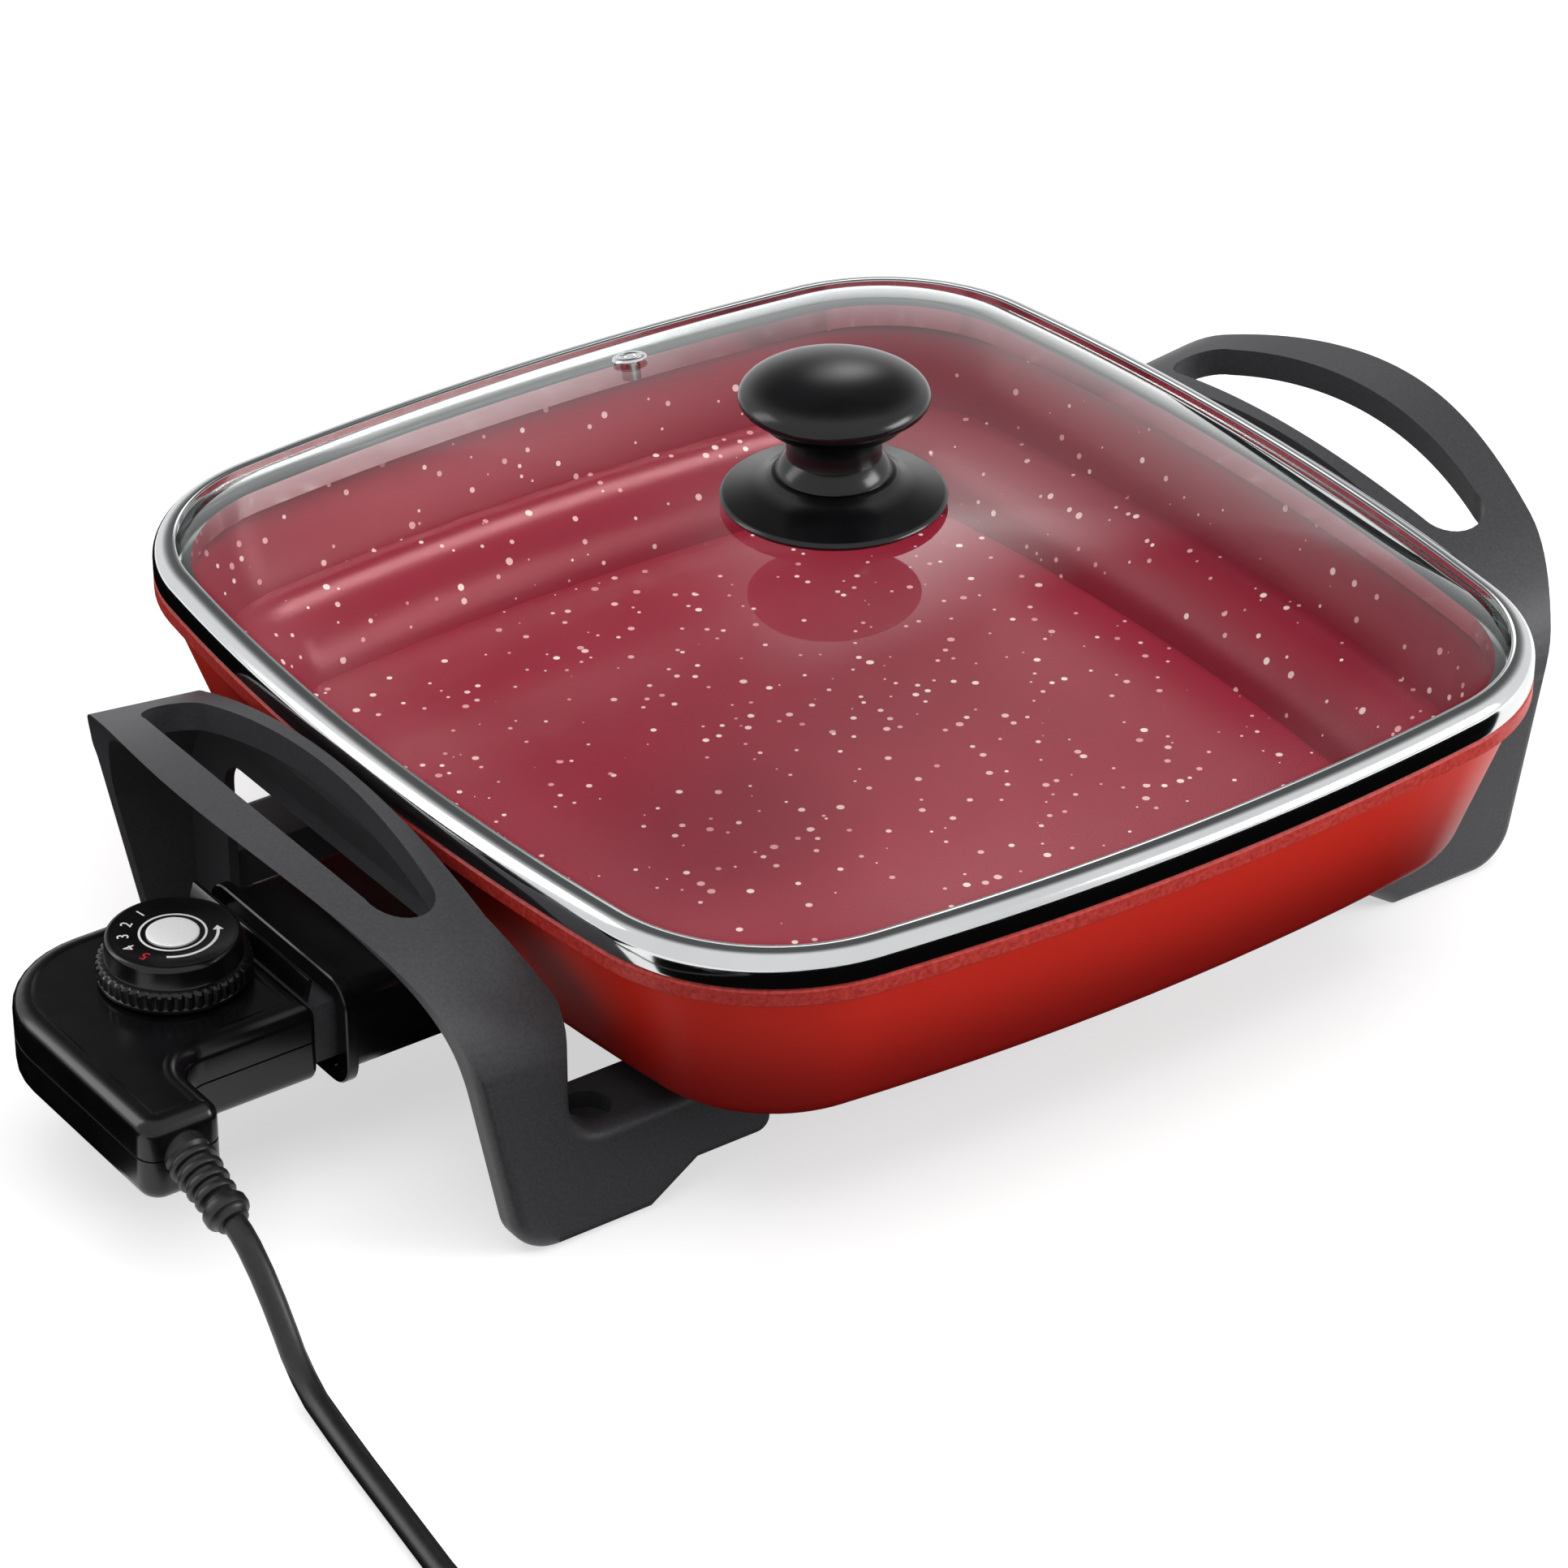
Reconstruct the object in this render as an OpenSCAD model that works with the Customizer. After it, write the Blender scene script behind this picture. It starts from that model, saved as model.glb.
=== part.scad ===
// Electric skillet: a square cast pan with a cast-in heating element, a domed glass lid,
// two moulded handle-and-leg brackets and a plug-in thermostat control on a mains cord.
// X runs through the control (at -X) and the two handles, Z is up and z = 0 is the table.

/* [Pan] */
// Half length of the pan's lip along X
pan_half_x = 153; // [140:1:170]
// Half length of the pan's lip along Y
pan_half_y = 160; // [145:1:175]
// Corner radius of the lip
pan_corner_r = 57.5; // [52:0.5:65]
// Radius of the bowed sides of the lip
pan_side_r = 790; // [600:10:1500]
// Height of the lip above the table
lip_z = 92; // [86:1:100]
// Height of the lip's plain outer band
lip_band = 5; // [3:0.5:8]
// Width of the lip's flat top
lip_w = 7; // [5:0.5:9]
// Step from the lip in to the wall below it
lip_step = 3; // [1:0.5:4]
// Height of the pan's underside above the table
pan_bottom_z = 39.3; // [36:0.1:42]
// Thickness of the pan's floor
floor_t = 7.5; // [6:0.5:9]
// Outer radius between wall and underside
pan_bottom_r = 12; // [8:1:14]
// Lean of the wall from the vertical, in degrees
wall_angle = 19.5; // [14:0.5:22]
// Depth of the crease inside the wall, below the lip
crease_drop = 25; // [20:1:30]
// How far the crease lies inside the lip's outline
crease_in = 18; // [16:0.5:22]
// Width of the rounded shoulder from crease to floor
shoulder_w = 22; // [18:1:26]

/* [Heating element] */
// Radius of the tubular element
element_r = 3.25; // [3:0.05:3.5]
// Wall of the cast ridge round the element
ridge_wall = 4; // [3:0.5:5]
// Height of the element, pins and probe above the table
element_z = 35.8; // [35.5:0.1:36]
// Half size of the element's loop along X
loop_half_x = 78; // [70:1:82]
// Half size of the element's loop along Y
loop_half_y = 92; // [80:1:100]
// Corner radius of the element's loop
loop_r = 40; // [30:1:50]
// Distance of each terminal pin from the centre plane
pin_y = 14; // [13.5:0.5:15]
// Radius of the terminal pins
pin_r = 2; // [1.8:0.1:2.2]
// Distance from the pan's centre to the element's cold ends
cold_end_x = 122; // [120:1:124]
// Distance from the pan's centre to the pins' free ends
pin_reach = 172; // [168:1:175]

/* [Bracket] */
// Half width of a bracket across its two legs
bracket_half_y = 95.5; // [92:0.5:100]
// Crown height of the handle at its reference reach
crown_z = 102.2; // [98:0.2:106]
// Radius of the handle's crown
crown_r = 212; // [190:1:260]
// Radius of the shoulders between crown and legs
shoulder_r = 41; // [36:1:46]
// Thickness of the bent strap
strap_t = 8; // [6:0.5:9]
// Rise of the handle towards its outer edge, in degrees
handle_tilt = 6.8; // [3:0.1:9]
// Gap between the pan's lip and the handle's inner edge
handle_gap = 3.5; // [2.5:0.5:6]
// Reach of the leg's outer edge where it meets the table line
leg_outer = 165; // [160:1:170]
// Lean of the leg's outer edge, per unit of height
leg_lean = 0.2; // [0.15:0.01:0.25]
// Height where the leg starts to flare out into the handle
flare_z = 60; // [55:1:66]
// Radius of that flare
flare_r = 78; // [70:1:90]
// Reach of the leg's inner edge at the underside of the pan
leg_inner = 149; // [147:0.5:152]
// Half length of the finger slot
slot_half_y = 63.5; // [55:0.5:66]
// Widest reach of the finger slot
slot_outer = 189.2; // [184:0.2:191]
// Least reach of the finger slot
slot_inner = 160.5; // [160:0.5:164]
// How far the slot's outer edge bows
slot_outer_bow = 6.4; // [4:0.2:8]
// How far the slot's inner edge bows
slot_inner_bow = 3.2; // [1:0.2:5]
// Radius of the foot's outer corner
foot_r = 14; // [8:1:18]
// Reach of the foot's inner end
foot_inner = 125; // [120:1:130]
// Height of the support arm's underside
arm_z = 9.5; // [7:0.5:14]
// Reach of the support arm's inner end, under the pan
arm_inner = 87; // [85:1:95]
// Depth of the foot across the leg
foot_d = 23; // [20:1:26]
// Wall of the foot's webs
foot_wall = 6; // [4:0.5:7]
// Height of the foot's platform
platform_z = 31.5; // [28:0.5:33]
// Thickness of the foot's platform
platform_t = 7; // [5:0.5:9]
// Radius of the round recess in the platform
recess_r = 6.5; // [4:0.5:7]
// Depth of the round recess
recess_d = 5; // [3:0.5:5]
// Thickness of the wall between the legs, under the handle's inner edge
web_t = 3; // [2:0.5:4]
// Half width of the opening in that wall
web_open_half_y = 69; // [64:0.5:71]
// Height of that opening above the table
web_open_z = 65; // [60:1:68]
// Corner radius of that opening
web_open_r = 9; // [6:1:14]

/* [Guard] */
// Half width of the terminal guard
guard_half_y = 31; // [30:0.5:33]
// Height of the guard's top above the table
guard_top_z = 52; // [51:0.5:55]
// Height of the guard's underside above the table
guard_bottom_z = 26; // [25.5:0.1:26.2]
// Wall of the guard
guard_wall = 2.2; // [1.8:0.1:2.4]
// Reach of the guard's mouth
guard_mouth = 178; // [176:1:182]
// Reach of the guard's inner end, next to the pan's wall
guard_inner = 140.5; // [140:0.5:143]
// How far the mouth's flange stands proud
flange_h = 3; // [2:0.5:4]
// Thickness of the mouth's flange
flange_t = 3.5; // [2:0.5:5]

/* [Lid] */
// Height of the lid's steel rim
rim_h = 9.5; // [9:0.5:12]
// Width of the lid's steel rim
rim_w = 6.5; // [6:0.5:9]
// Thickness of the lid's glass
glass_t = 4; // [3:0.5:4.5]
// Height of the glass at its centre above the lip
dome_h = 34; // [30:1:40]
// Radius of the knob's head
knob_r = 25.7; // [22:0.1:30]
// Thickness of the knob's head
knob_t = 15; // [12:0.5:20]
// Height of the knob's neck between base and head
knob_neck_h = 15.5; // [12:0.5:22]
// Radius of the knob's base flange
knob_base_r = 30.7; // [26:0.1:36]
// Height of the knob's base flange
knob_base_h = 8; // [6:0.5:11]
// Distance of the steam vent from the lid's far edge
vent_in = 48; // [42:1:56]
// Distance of the steam vent from the lid's middle line
vent_aside = 10; // [0:1:40]
// Outer radius of the steam vent
vent_r = 5; // [4:0.5:8]

/* [Control] */
// Reach of the control's outer edge from the pan's centre
control_reach = 250; // [245:1:256]
// Reach of the control's front
control_front = 186; // [184:0.5:188]
// Half width of the control's neck
neck_half_y = 33; // [32:0.5:36]
// Distance of the cord's end face from the centre plane
cord_face_y = 57; // [54:1:62]
// Width of the cord arm
cord_arm_w = 22; // [20:0.5:26]
// Height of the control's top above the table
control_top_z = 53; // [50:0.5:54]
// Height of the control's underside above the table
control_bottom_z = 29.2; // [28.5:0.1:29.4]
// Height of the joint between the control's covers
control_split_z = 42; // [41:0.5:43]
// Wall of the control's covers
control_wall = 2; // [1.8:0.1:2.2]
// Radius of the control's rounded edges
control_edge_r = 4.5; // [2:0.5:5]
// Radius of the control's large corner
control_corner_r = 30; // [20:1:32]
// Radius of the fillet inside the cord arm
control_fillet_r = 9; // [6:1:12]
// Height of the raised lip at the control's front
front_lip_h = 5; // [3:0.5:7]
// Radius of the probe tube
probe_r = 3; // [2.5:0.1:3.2]
// Distance from the pan's centre to the probe's tip
probe_tip = 92; // [90:1:96]
// Radial clearance of the probe and of the pins
plug_clear = 0.3; // [0.2:0.05:0.35]

/* [Dial] */
// Reach of the dial's axis from the pan's centre
dial_reach = 208; // [206:0.5:212]
// Radius of the dial's smooth cap
dial_r = 17.8; // [15:0.1:19]
// Radius of the dial's grooved skirt
skirt_r = 20.2; // [18:0.1:21]
// Height of the dial
dial_h = 12.5; // [10:0.5:16]
// Height of the dial's grooved skirt
skirt_h = 6; // [4:0.5:8]
// Number of grooves round the skirt
groove_count = 48; // [24:2:60]
// Radius of the lens in the dial
lens_r = 7; // [5:0.5:8]

/* [Cord] */
// Diameter of the mains cord
cord_d = 6.5; // [6:0.1:7]
// Length of the strain relief outside the control
relief_l = 24; // [20:1:30]
// Droop of the strain relief, in degrees
relief_droop = 20; // [10:1:30]
// Turns of cord in the coil
coil_turns = 4.25; // [3.25:1:6.25]
// Inner radius of the coil, at the middle of the cord
coil_inner_r = 29; // [27:0.5:36]
// Gap between neighbouring turns of the coil
coil_gap = 0.6; // [0.5:0.1:1.5]

/* [Hidden] */
$fn = 64;

// Reach beyond a face for cuts that go right through
over = 1;
// Close fit of a piece seated in its hole
seat = 0.05;
// Clearance of a screw in its hole
screw_clear = 0.3;

// The lip's outline: four bowed sides and four corner arcs, each tangent to the next
side_x_centre = pan_half_x - pan_side_r;
side_y_centre = pan_half_y - pan_side_r;
corner_swing = pan_side_r - pan_corner_r;
centre_gap = norm([side_x_centre, side_y_centre]);
corner_rise = sqrt(corner_swing^2 - centre_gap^2 / 4);
corner_at = [side_x_centre / 2 - side_y_centre / centre_gap * corner_rise,
             side_y_centre / 2 - side_x_centre / centre_gap * corner_rise];
corner_start = atan2(corner_at.y, corner_at.x - side_x_centre);
corner_end = atan2(corner_at.y - side_y_centre, corner_at.x);

// The pan's section, as distances in from the lip's outline and heights
floor_z = pan_bottom_z + floor_t;
wall_top = [-lip_step, lip_z - lip_band - 1];
wall_run = (wall_top.y - pan_bottom_z - pan_bottom_r * (1 - sin(wall_angle))) / cos(wall_angle);
round_centre = [wall_top.x - wall_run * sin(wall_angle) - pan_bottom_r * cos(wall_angle),
                pan_bottom_z + pan_bottom_r];
crease = [-crease_in, lip_z - crease_drop];
shoulder_end = -crease_in - shoulder_w;

// The bracket's arch across the legs and its flare along X
arch_centre_z = crown_z - crown_r;
shoulder_y = bracket_half_y - shoulder_r;
shoulder_z = arch_centre_z + sqrt((crown_r - shoulder_r)^2 - shoulder_y^2);
shoulder_angle = atan2(shoulder_z - arch_centre_z, shoulder_y);
handle_inner = pan_half_x + handle_gap;
tilt_reach = 188;
lean_length = sqrt(1 + leg_lean^2);
flare_centre = [leg_outer + leg_lean * flare_z + flare_r / lean_length,
                flare_z - flare_r * leg_lean / lean_length];
// The handle's outer top edge, where the tilted crown meets the flare
tilt_rise = tan(handle_tilt);
crown_line = crown_z - tilt_rise * tilt_reach - flare_centre.y;
quad_a = 1 + tilt_rise^2;
quad_b = tilt_rise * crown_line - flare_centre.x;
quad_c = flare_centre.x^2 + crown_line^2 - flare_r^2;
handle_reach = (-quad_b - sqrt(quad_b^2 - quad_a * quad_c)) / quad_a;
pan_x = (control_reach - handle_reach) / 2;

// Screws under the pan
bracket_screw_at = [arm_inner + 12, bracket_half_y - foot_d / 2];
bracket_screw_r = 2.5;
bracket_head_h = 3;
screw_short = 3;
guard_screw_at = [106, guard_half_y + 5];
guard_screw_r = 2;
guard_head_h = 2.5;
guard_boss_r = 5;
probe_boss_half_y = 8;
probe_boss_wall = 3.5;
probe_boss_end = 6;
probe_boss_z = element_z - probe_r - plug_clear - probe_boss_wall;
ridge_r = element_r + ridge_wall;
lead_bend = 12;
insulator_l = 9;
insulator_wall = 1.2;
insulator_r = pin_r + insulator_wall;
guard_corner_r = 5;

// The foot and the arm that carries the pan
arm_round = 5;
leg_fillet = 10;
web_turn_z = 70;
recess_in = 4.5;
seat_outer = 112;
strap_half = 130;
strap_drop = 40;
slot_straight = slot_half_y - (slot_outer - slot_outer_bow - slot_inner - slot_inner_bow) / 2;
foot_hollow = foot_d - strap_t - foot_wall;
foot_hollow_l = leg_inner - arm_inner - 2 * foot_wall;
recess_at = leg_inner - recess_r - recess_in;

// The lid: heights from the lip, and shares of the way out at which the glass is drawn
rim_round = 3.5;
skirt_in = 9.3;
skirt_t = 1.2;
skirt_drop = 3.5;
channel_in = 2;
glass_z = 3.3;
glass_border = 5;
glass_shares = [0.05, 0.2, 0.35, 0.5, 0.62, 0.72, 0.8, 0.86, 0.91, 0.95, 0.98, 1];
gasket_r = 14;
gasket_t = 1;
collar_r = 15.7;
neck_r = 12.8;
knob_screw_r = 2.5;
knob_screw_l = 16;
knob_head_r = 5;
knob_head_h = 3;
knob_edge_r = 1.2;
base_step = [5, 2.5];
collar_h = 5;
collar_edge_r = 1;
neck_z = 8;
neck_round = 3;
knob_base_z = lip_z + dome_h + gasket_t;
washer_r = 9;
washer_t = 1.2;
washer_z = lip_z + dome_h - glass_t - washer_t - 3 * seat;
vent_tube_r = 2.8;
vent_wall = 0.8;
vent_head_h = 1.2;
vent_tube_l = 2.5;

vent_at = [vent_aside, pan_half_y - vent_in];
// The vent stands square on the glass, so it follows the dome's height and slope there
vent_edge = channel_in + seat + glass_border;
vent_k = vent_at.y / (pan_half_y - vent_edge);
vent_rise = dome_h - glass_z - glass_t;
vent_z = glass_z + glass_t + dome(vent_k, vent_rise);
vent_tilt = [-atan(vent_rise * (3.6 * vent_k^5 + 0.8 * vent_k) / (pan_half_y - vent_edge)), 0, 0];
vent_seat = 0.6;

// The control: corners, openings, screws and the places of the parts inside
least_r = 0.3;
front_corner_r = 2;
arm_outer_r = 6;
arm_inner_r = 4;
arm_inner_x = control_reach - cord_arm_w;
cord_x = control_reach - cord_arm_w / 2;
control_floor_z = control_bottom_z + control_wall;
lip_base_t = 1.2;
lip_top_t = 1.6;
lip_lean = 2;
control_screw_r = 1.5;
control_head_r = 2.7;
control_head_h = 2;
control_boss_r = 3.5;
control_screw_short = 3;
control_screw_top = control_top_z - control_wall - control_screw_short;
control_screw_at = [[-cord_x, neck_half_y - 12], [-cord_x, -neck_half_y - 3]];
block_half_y = 27.5;
block_clear = 0.2;
block_z = control_floor_z + seat;
block_h = 17.2;
block_front = 162;
block_back = control_front + control_wall + 4;
block_flange = 2;
socket_r = 2.9;
socket_tail = 6;
probe_nose = 1.2;
rod_r = 1.2;
rod_tail = 4;
tube_back = block_back + 4;
spindle_r = 3;
relief_r = 6.4;
relief_rib_rise = 0.4;
frame_half_y = 9;
frame_lift = 1.8;
frame_z = control_floor_z + frame_lift;
frame_t = 1.5;
frame_pad = [dial_reach + 10, 0];
frame_pad_l = 12;
stack_back = 24;
stack_x = dial_reach + stack_back;
rivet_r = 1.7;
rivet_head_r = 2.8;
rivet_head_h = 1.5;
tab_x = tube_back + 1;
tab_h = 10;
stack_r = 5;
blade_t = 0.4;
blade_half_y = 4;
button_r = 2;
button_h = 1.1;
contact_x = dial_reach + 4;
stack_h = [3.5, 2.6, 2.6];
stack_z = [frame_z + frame_t, frame_z + frame_t + stack_h[0] + blade_t,
  frame_z + frame_t + stack_h[0] + stack_h[1] + 2 * blade_t];
stack_top = stack_z[2] + stack_h[2];
clamp_y = 10 - cord_face_y;
clamp_l = 5;
clamp_half_x = 7;
clamp_top = 5.5;
relief_lock_t = 2;
relief_lock_rise = 0.4;
relief_bend = 3;
relief_sink = 0.5;
relief_end_r = 4.2;
relief_ribs = 6;
relief_pitch = 3.5;
relief_rib_t = 1.9;
relief_taper = 0.34;
dial_z = control_top_z + 0.5;
dial_edge_r = 1.5;
groove_d = 0.7;
lens_t = 1;
spindle_grip = 6;
spindle_gap = 0.3;
lens_proud = 0.2;
fixed_tip = 6;
moving_tip = 5;
spindle_z = stack_z[2] + spindle_gap;

// The cord: a lead from the strain relief to the table, a tied coil in two layers, and a tail to the plug
tie_t = 1.2;
plug_at = [-351, -243];
plug_l = 38;
plug_z = 8;
coil_pitch = cord_d + coil_gap;
coil_steps = 24;
coil_climb = 0.5;
coil_at = [-297, -240];
coil_low_z = tie_t + seat + cord_d / 2;
cord_joint = 0.3;
relief_end = [-cord_x, -cord_face_y, control_split_z];
relief_way = [0, -cos(relief_droop), -sin(relief_droop)];
lead_route = [
  relief_end + (relief_l + cord_joint) * relief_way, relief_end + (relief_l + cord_d / 2) * relief_way,
  [-239, -86.2, 30.5], [-239, -91.9, 25.6], [-239, -97, 20], [-239.3, -102.3, 14.4], [-239.8, -106.5, 10.6],
  [-240.3, -112, 7], [-241, -118.5, 4.4], [-242.3, -130, cord_d / 2], [-244.5, -145, cord_d / 2],
  [-246.5, -160, cord_d / 2], [-248.5, -175, cord_d / 2], [-250.5, -190, cord_d / 2],
  [-252, -205, cord_d / 2 + 0.2], [-252.8, -220, coil_low_z - 0.4]];
tail_route = [[-312, -283, 11], [-328, -277.5, 8.5], [-341, -268, 6.5], [-348.5, -256, 7], [-350.8, -249, plug_z],
  [plug_at.x, plug_at.y - cord_d / 2, plug_z], [plug_at.x, plug_at.y - cord_joint, plug_z]];
tie_w = 8;
tie_corner_r = 2;
tie_r = coil_inner_r + coil_pitch;
tie_half = [coil_pitch + 1.2, cord_d + coil_gap / 2 + 0.4];
tie_mid_z = tie_half.y + tie_t;
plug_section = [[0, 4, 4, 3], [12, 5.5, 5, 3.5], [17, 11, 7.5, 4], [plug_l - 2, 13, 8, 4], [plug_l, 12, 7, 3]];
plug_blade = [1.5, 17, 6.4];
blade_gap = 12.7;

// Points on an arc
function arc(c, r, a0, a1, n = 6) = [for (i = [0:n]) let (a = a0 + (a1 - a0) * i / n) c + r * [cos(a), sin(a)]];

// Points of a rise that starts at an angle and swells over to level, one unit each way
function swell(a0, n = 6) = [for (i = [0:n]) let (a = a0 + (90 - a0) * i / n)
  [(cos(a0) - cos(a)) / cos(a0), (sin(a) - sin(a0)) / (1 - sin(a0))]];

// A rectangle with rounded corners, by its half sizes
function round_rect(half, r, n = 5) = [for (k = [0:3])
  let (s = [k == 0 || k == 3 ? 1 : -1, k < 2 ? 1 : -1])
  each arc([s.x * (half.x - r), s.y * (half.y - r)], r, 90 * k, 90 * k + 90, n)];

// A list without its first and last items
function middle(l) = [for (i = [1:len(l) - 2]) l[i]];

// The lip's outline drawn in by d: corner arcs and bowed sides in turn, from the corner at +X +Y
function outline(d, n = 6, m = 4) = let (
    r = pan_corner_r - d, q = pan_side_r - d, a = corner_start, b = corner_end, c = corner_at,
    sx = [side_x_centre, 0], sy = [0, side_y_centre])
  concat(
    arc(c, r, a, b, n), middle(arc(sy, q, b, 180 - b, m)),
    arc([-c.x, c.y], r, 180 - b, 180 - a, n), middle(arc(-sx, q, 180 - a, 180 + a, m)),
    arc(-c, r, 180 + a, 180 + b, n), middle(arc(-sy, q, 180 + b, 360 - b, m)),
    arc([c.x, -c.y], r, 360 - b, 360 - a, n), middle(arc(sx, q, -a, a, m)));

// The outline at each point of a section: x is the distance out from the lip, y the height
function round_outline(section) = [for (p = section) [for (q = outline(-p.x)) [q.x, q.y, p.y]]];

module at_pan() { translate([pan_x, 0, 0]) children(); }

// A solid skinned over rings of points, closed by its first and last ring or run back to the first
module skin(rings, loop = false) {
  n = len(rings[0]);
  m = len(rings);
  sides = [for (k = [0:loop ? m - 1 : m - 2], i = [0:n - 1])
    let (a = k * n, b = (k + 1) % m * n, j = (i + 1) % n) each [[a + i, b + i, b + j], [a + i, b + j, a + j]]];
  caps = loop ? [] : [[for (i = [0:n - 1]) i], [for (i = [n - 1:-1:0]) (m - 1) * n + i]];
  polyhedron([for (r = rings) each r], concat(sides, caps));
}

// The element's open loop as a round bar of radius r
module element_loop(r) {
  straight_y = loop_half_y - loop_r;
  straight_x = loop_half_x - loop_r;
  translate([0, 0, element_z]) {
    for (s = [-1, 1]) {
      translate([loop_half_x, 0, 0]) rotate([-90 * s, 0, 0]) cylinder(r = r, h = straight_y);
      translate([-straight_x, s * loop_half_y, 0]) rotate([0, 90, 0]) cylinder(r = r, h = 2 * straight_x);
      translate([-loop_half_x, s * straight_y, 0]) rotate([90 * s, 0, 0])
        cylinder(r = r, h = straight_y - pin_y - lead_bend);
      translate([-cold_end_x, s * pin_y, 0]) rotate([0, 90, 0])
        cylinder(r = r, h = cold_end_x - loop_half_x - lead_bend);
      for (q = [-1, 1]) translate([q * straight_x, s * straight_y, 0])
        rotate([0, 0, q > 0 ? (s > 0 ? 0 : 270) : (s > 0 ? 90 : 180)])
          rotate_extrude(angle = 90) translate([loop_r, 0]) circle(r);
      translate([-loop_half_x - lead_bend, s * (pin_y + lead_bend), 0])
        rotate([0, 0, s > 0 ? 270 : 0]) rotate_extrude(angle = 90) translate([lead_bend, 0]) circle(r);
    }
  }
}

// The pan: cast aluminium, with the element's ridge, the probe's boss and the screw bosses below
module pan() color("firebrick") at_pan() difference() {
  union() {
    skin(round_outline(concat(
      arc(round_centre, pan_bottom_r, -90, -wall_angle),
      [wall_top, [0, lip_z - lip_band], [0, lip_z], [-lip_w, lip_z]],
      [for (i = [6:-1:0]) let (p = swell(25)[i])
        [shoulder_end + shoulder_w * p.x, floor_z + (crease.y - floor_z) * p.y]])));
    element_loop(ridge_r);
    translate([-cold_end_x, -probe_boss_half_y, probe_boss_z])
      cube([cold_end_x - probe_tip + probe_boss_end, 2 * probe_boss_half_y, pan_bottom_z - probe_boss_z + over]);
    for (s = [-1, 1])
      translate([-guard_screw_at.x, s * guard_screw_at.y, guard_bottom_z + guard_wall])
        cylinder(r = guard_boss_r, h = pan_bottom_z - guard_bottom_z);
  }
  element_loop(element_r + seat);
  translate([-cold_end_x - over, 0, element_z]) rotate([0, 90, 0])
    cylinder(r = probe_r + plug_clear, h = cold_end_x - probe_tip + over + plug_clear);
  for (sx = [-1, 1], sy = [-1, 1])
    translate([sx * bracket_screw_at.x, sy * bracket_screw_at.y, pan_bottom_z - over])
      cylinder(r = bracket_screw_r + seat, h = floor_t - 2 + over);
  for (s = [-1, 1])
    translate([-guard_screw_at.x, s * guard_screw_at.y, guard_bottom_z])
      cylinder(r = guard_screw_r + seat, h = pan_bottom_z - guard_bottom_z - 1);
}

module heating_element() color("dimgray") at_pan() element_loop(element_r);

module terminal_pins() color("silver") at_pan() for (s = [-1, 1])
  translate([-pin_reach, s * pin_y, element_z]) rotate([0, 90, 0])
    cylinder(r = pin_r, h = pin_reach - cold_end_x);

module terminal_insulators() color("ivory") at_pan() for (s = [-1, 1])
  translate([-cold_end_x - insulator_l, s * pin_y, element_z]) rotate([0, 90, 0]) difference() {
    cylinder(r = insulator_r, h = insulator_l);
    translate([0, 0, -over]) cylinder(r = pin_r + seat, h = insulator_l + 2 * over);
  }

// The guard: a sleeve round the pins with a flanged mouth, its floor screwed up under the pan
module guard_section(grow) {
  half = [guard_half_y, (guard_top_z - guard_bottom_z) / 2];
  difference() {
    polygon(round_rect(half + [grow, grow], guard_corner_r));
    polygon(round_rect(half - [guard_wall, guard_wall], guard_corner_r - guard_wall / 2));
  }
}

module terminal_guard() color("black") at_pan() {
  translate([-guard_mouth, 0, (guard_top_z + guard_bottom_z) / 2]) rotate([90, 0, 90]) {
    linear_extrude(guard_mouth - guard_inner) guard_section(0);
    linear_extrude(flange_t) guard_section(flange_h);
  }
  difference() {
    union() {
      translate([-guard_inner - over, -guard_half_y + guard_corner_r, guard_bottom_z])
        cube([guard_inner - guard_screw_at.x + over, 2 * (guard_half_y - guard_corner_r), guard_wall]);
      translate([-guard_screw_at.x - guard_boss_r, -guard_screw_at.y, guard_bottom_z])
        cube([2 * guard_boss_r, 2 * guard_screw_at.y, guard_wall]);
      for (s = [-1, 1]) translate([-guard_screw_at.x, s * guard_screw_at.y, guard_bottom_z])
        cylinder(r = guard_boss_r, h = guard_wall);
    }
    for (s = [-1, 1]) translate([-guard_screw_at.x, s * guard_screw_at.y, guard_bottom_z - over])
      cylinder(r = guard_screw_r + screw_clear, h = guard_wall + 2 * over);
  }
}

// The bracket's side outline at +X, as reach and height
function flare_at(z) = flare_centre.x - sqrt(flare_r^2 - (z - flare_centre.y)^2);
function bracket_side() = let (
    top = crown_z + tilt_rise * (handle_reach - tilt_reach) + over,
    foot_c = [leg_outer + leg_lean * foot_r - foot_r * lean_length, foot_r],
    arm_end = [arm_inner + arm_round, arm_z + arm_round])
  concat(
    [for (i = [0:8]) let (z = top - (top - flare_z) * i / 8) [flare_at(z), z]],
    arc(foot_c, foot_r, -atan(leg_lean), -90),
    [[foot_inner, 0], [foot_inner - (arm_z + arm_round), arm_z]],
    arc(arm_end, arm_round, -90, -180),
    [[arm_inner, pan_bottom_z], [seat_outer, pan_bottom_z], [seat_outer, platform_z]],
    arc([leg_inner - leg_fillet, platform_z + leg_fillet], leg_fillet, -90, 0),
    [[leg_inner, web_turn_z], [handle_inner, lip_z - lip_band], [handle_inner, top]]);

// The side outline of the wall between the legs
function web_side() = [
  [leg_inner, 0], [leg_inner + web_t, 0], [leg_inner + web_t, web_turn_z],
  [handle_inner + web_t, lip_z - lip_band], [handle_inner + web_t, crown_z],
  [handle_inner, crown_z], [handle_inner, lip_z - lip_band], [leg_inner, web_turn_z]];

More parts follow.
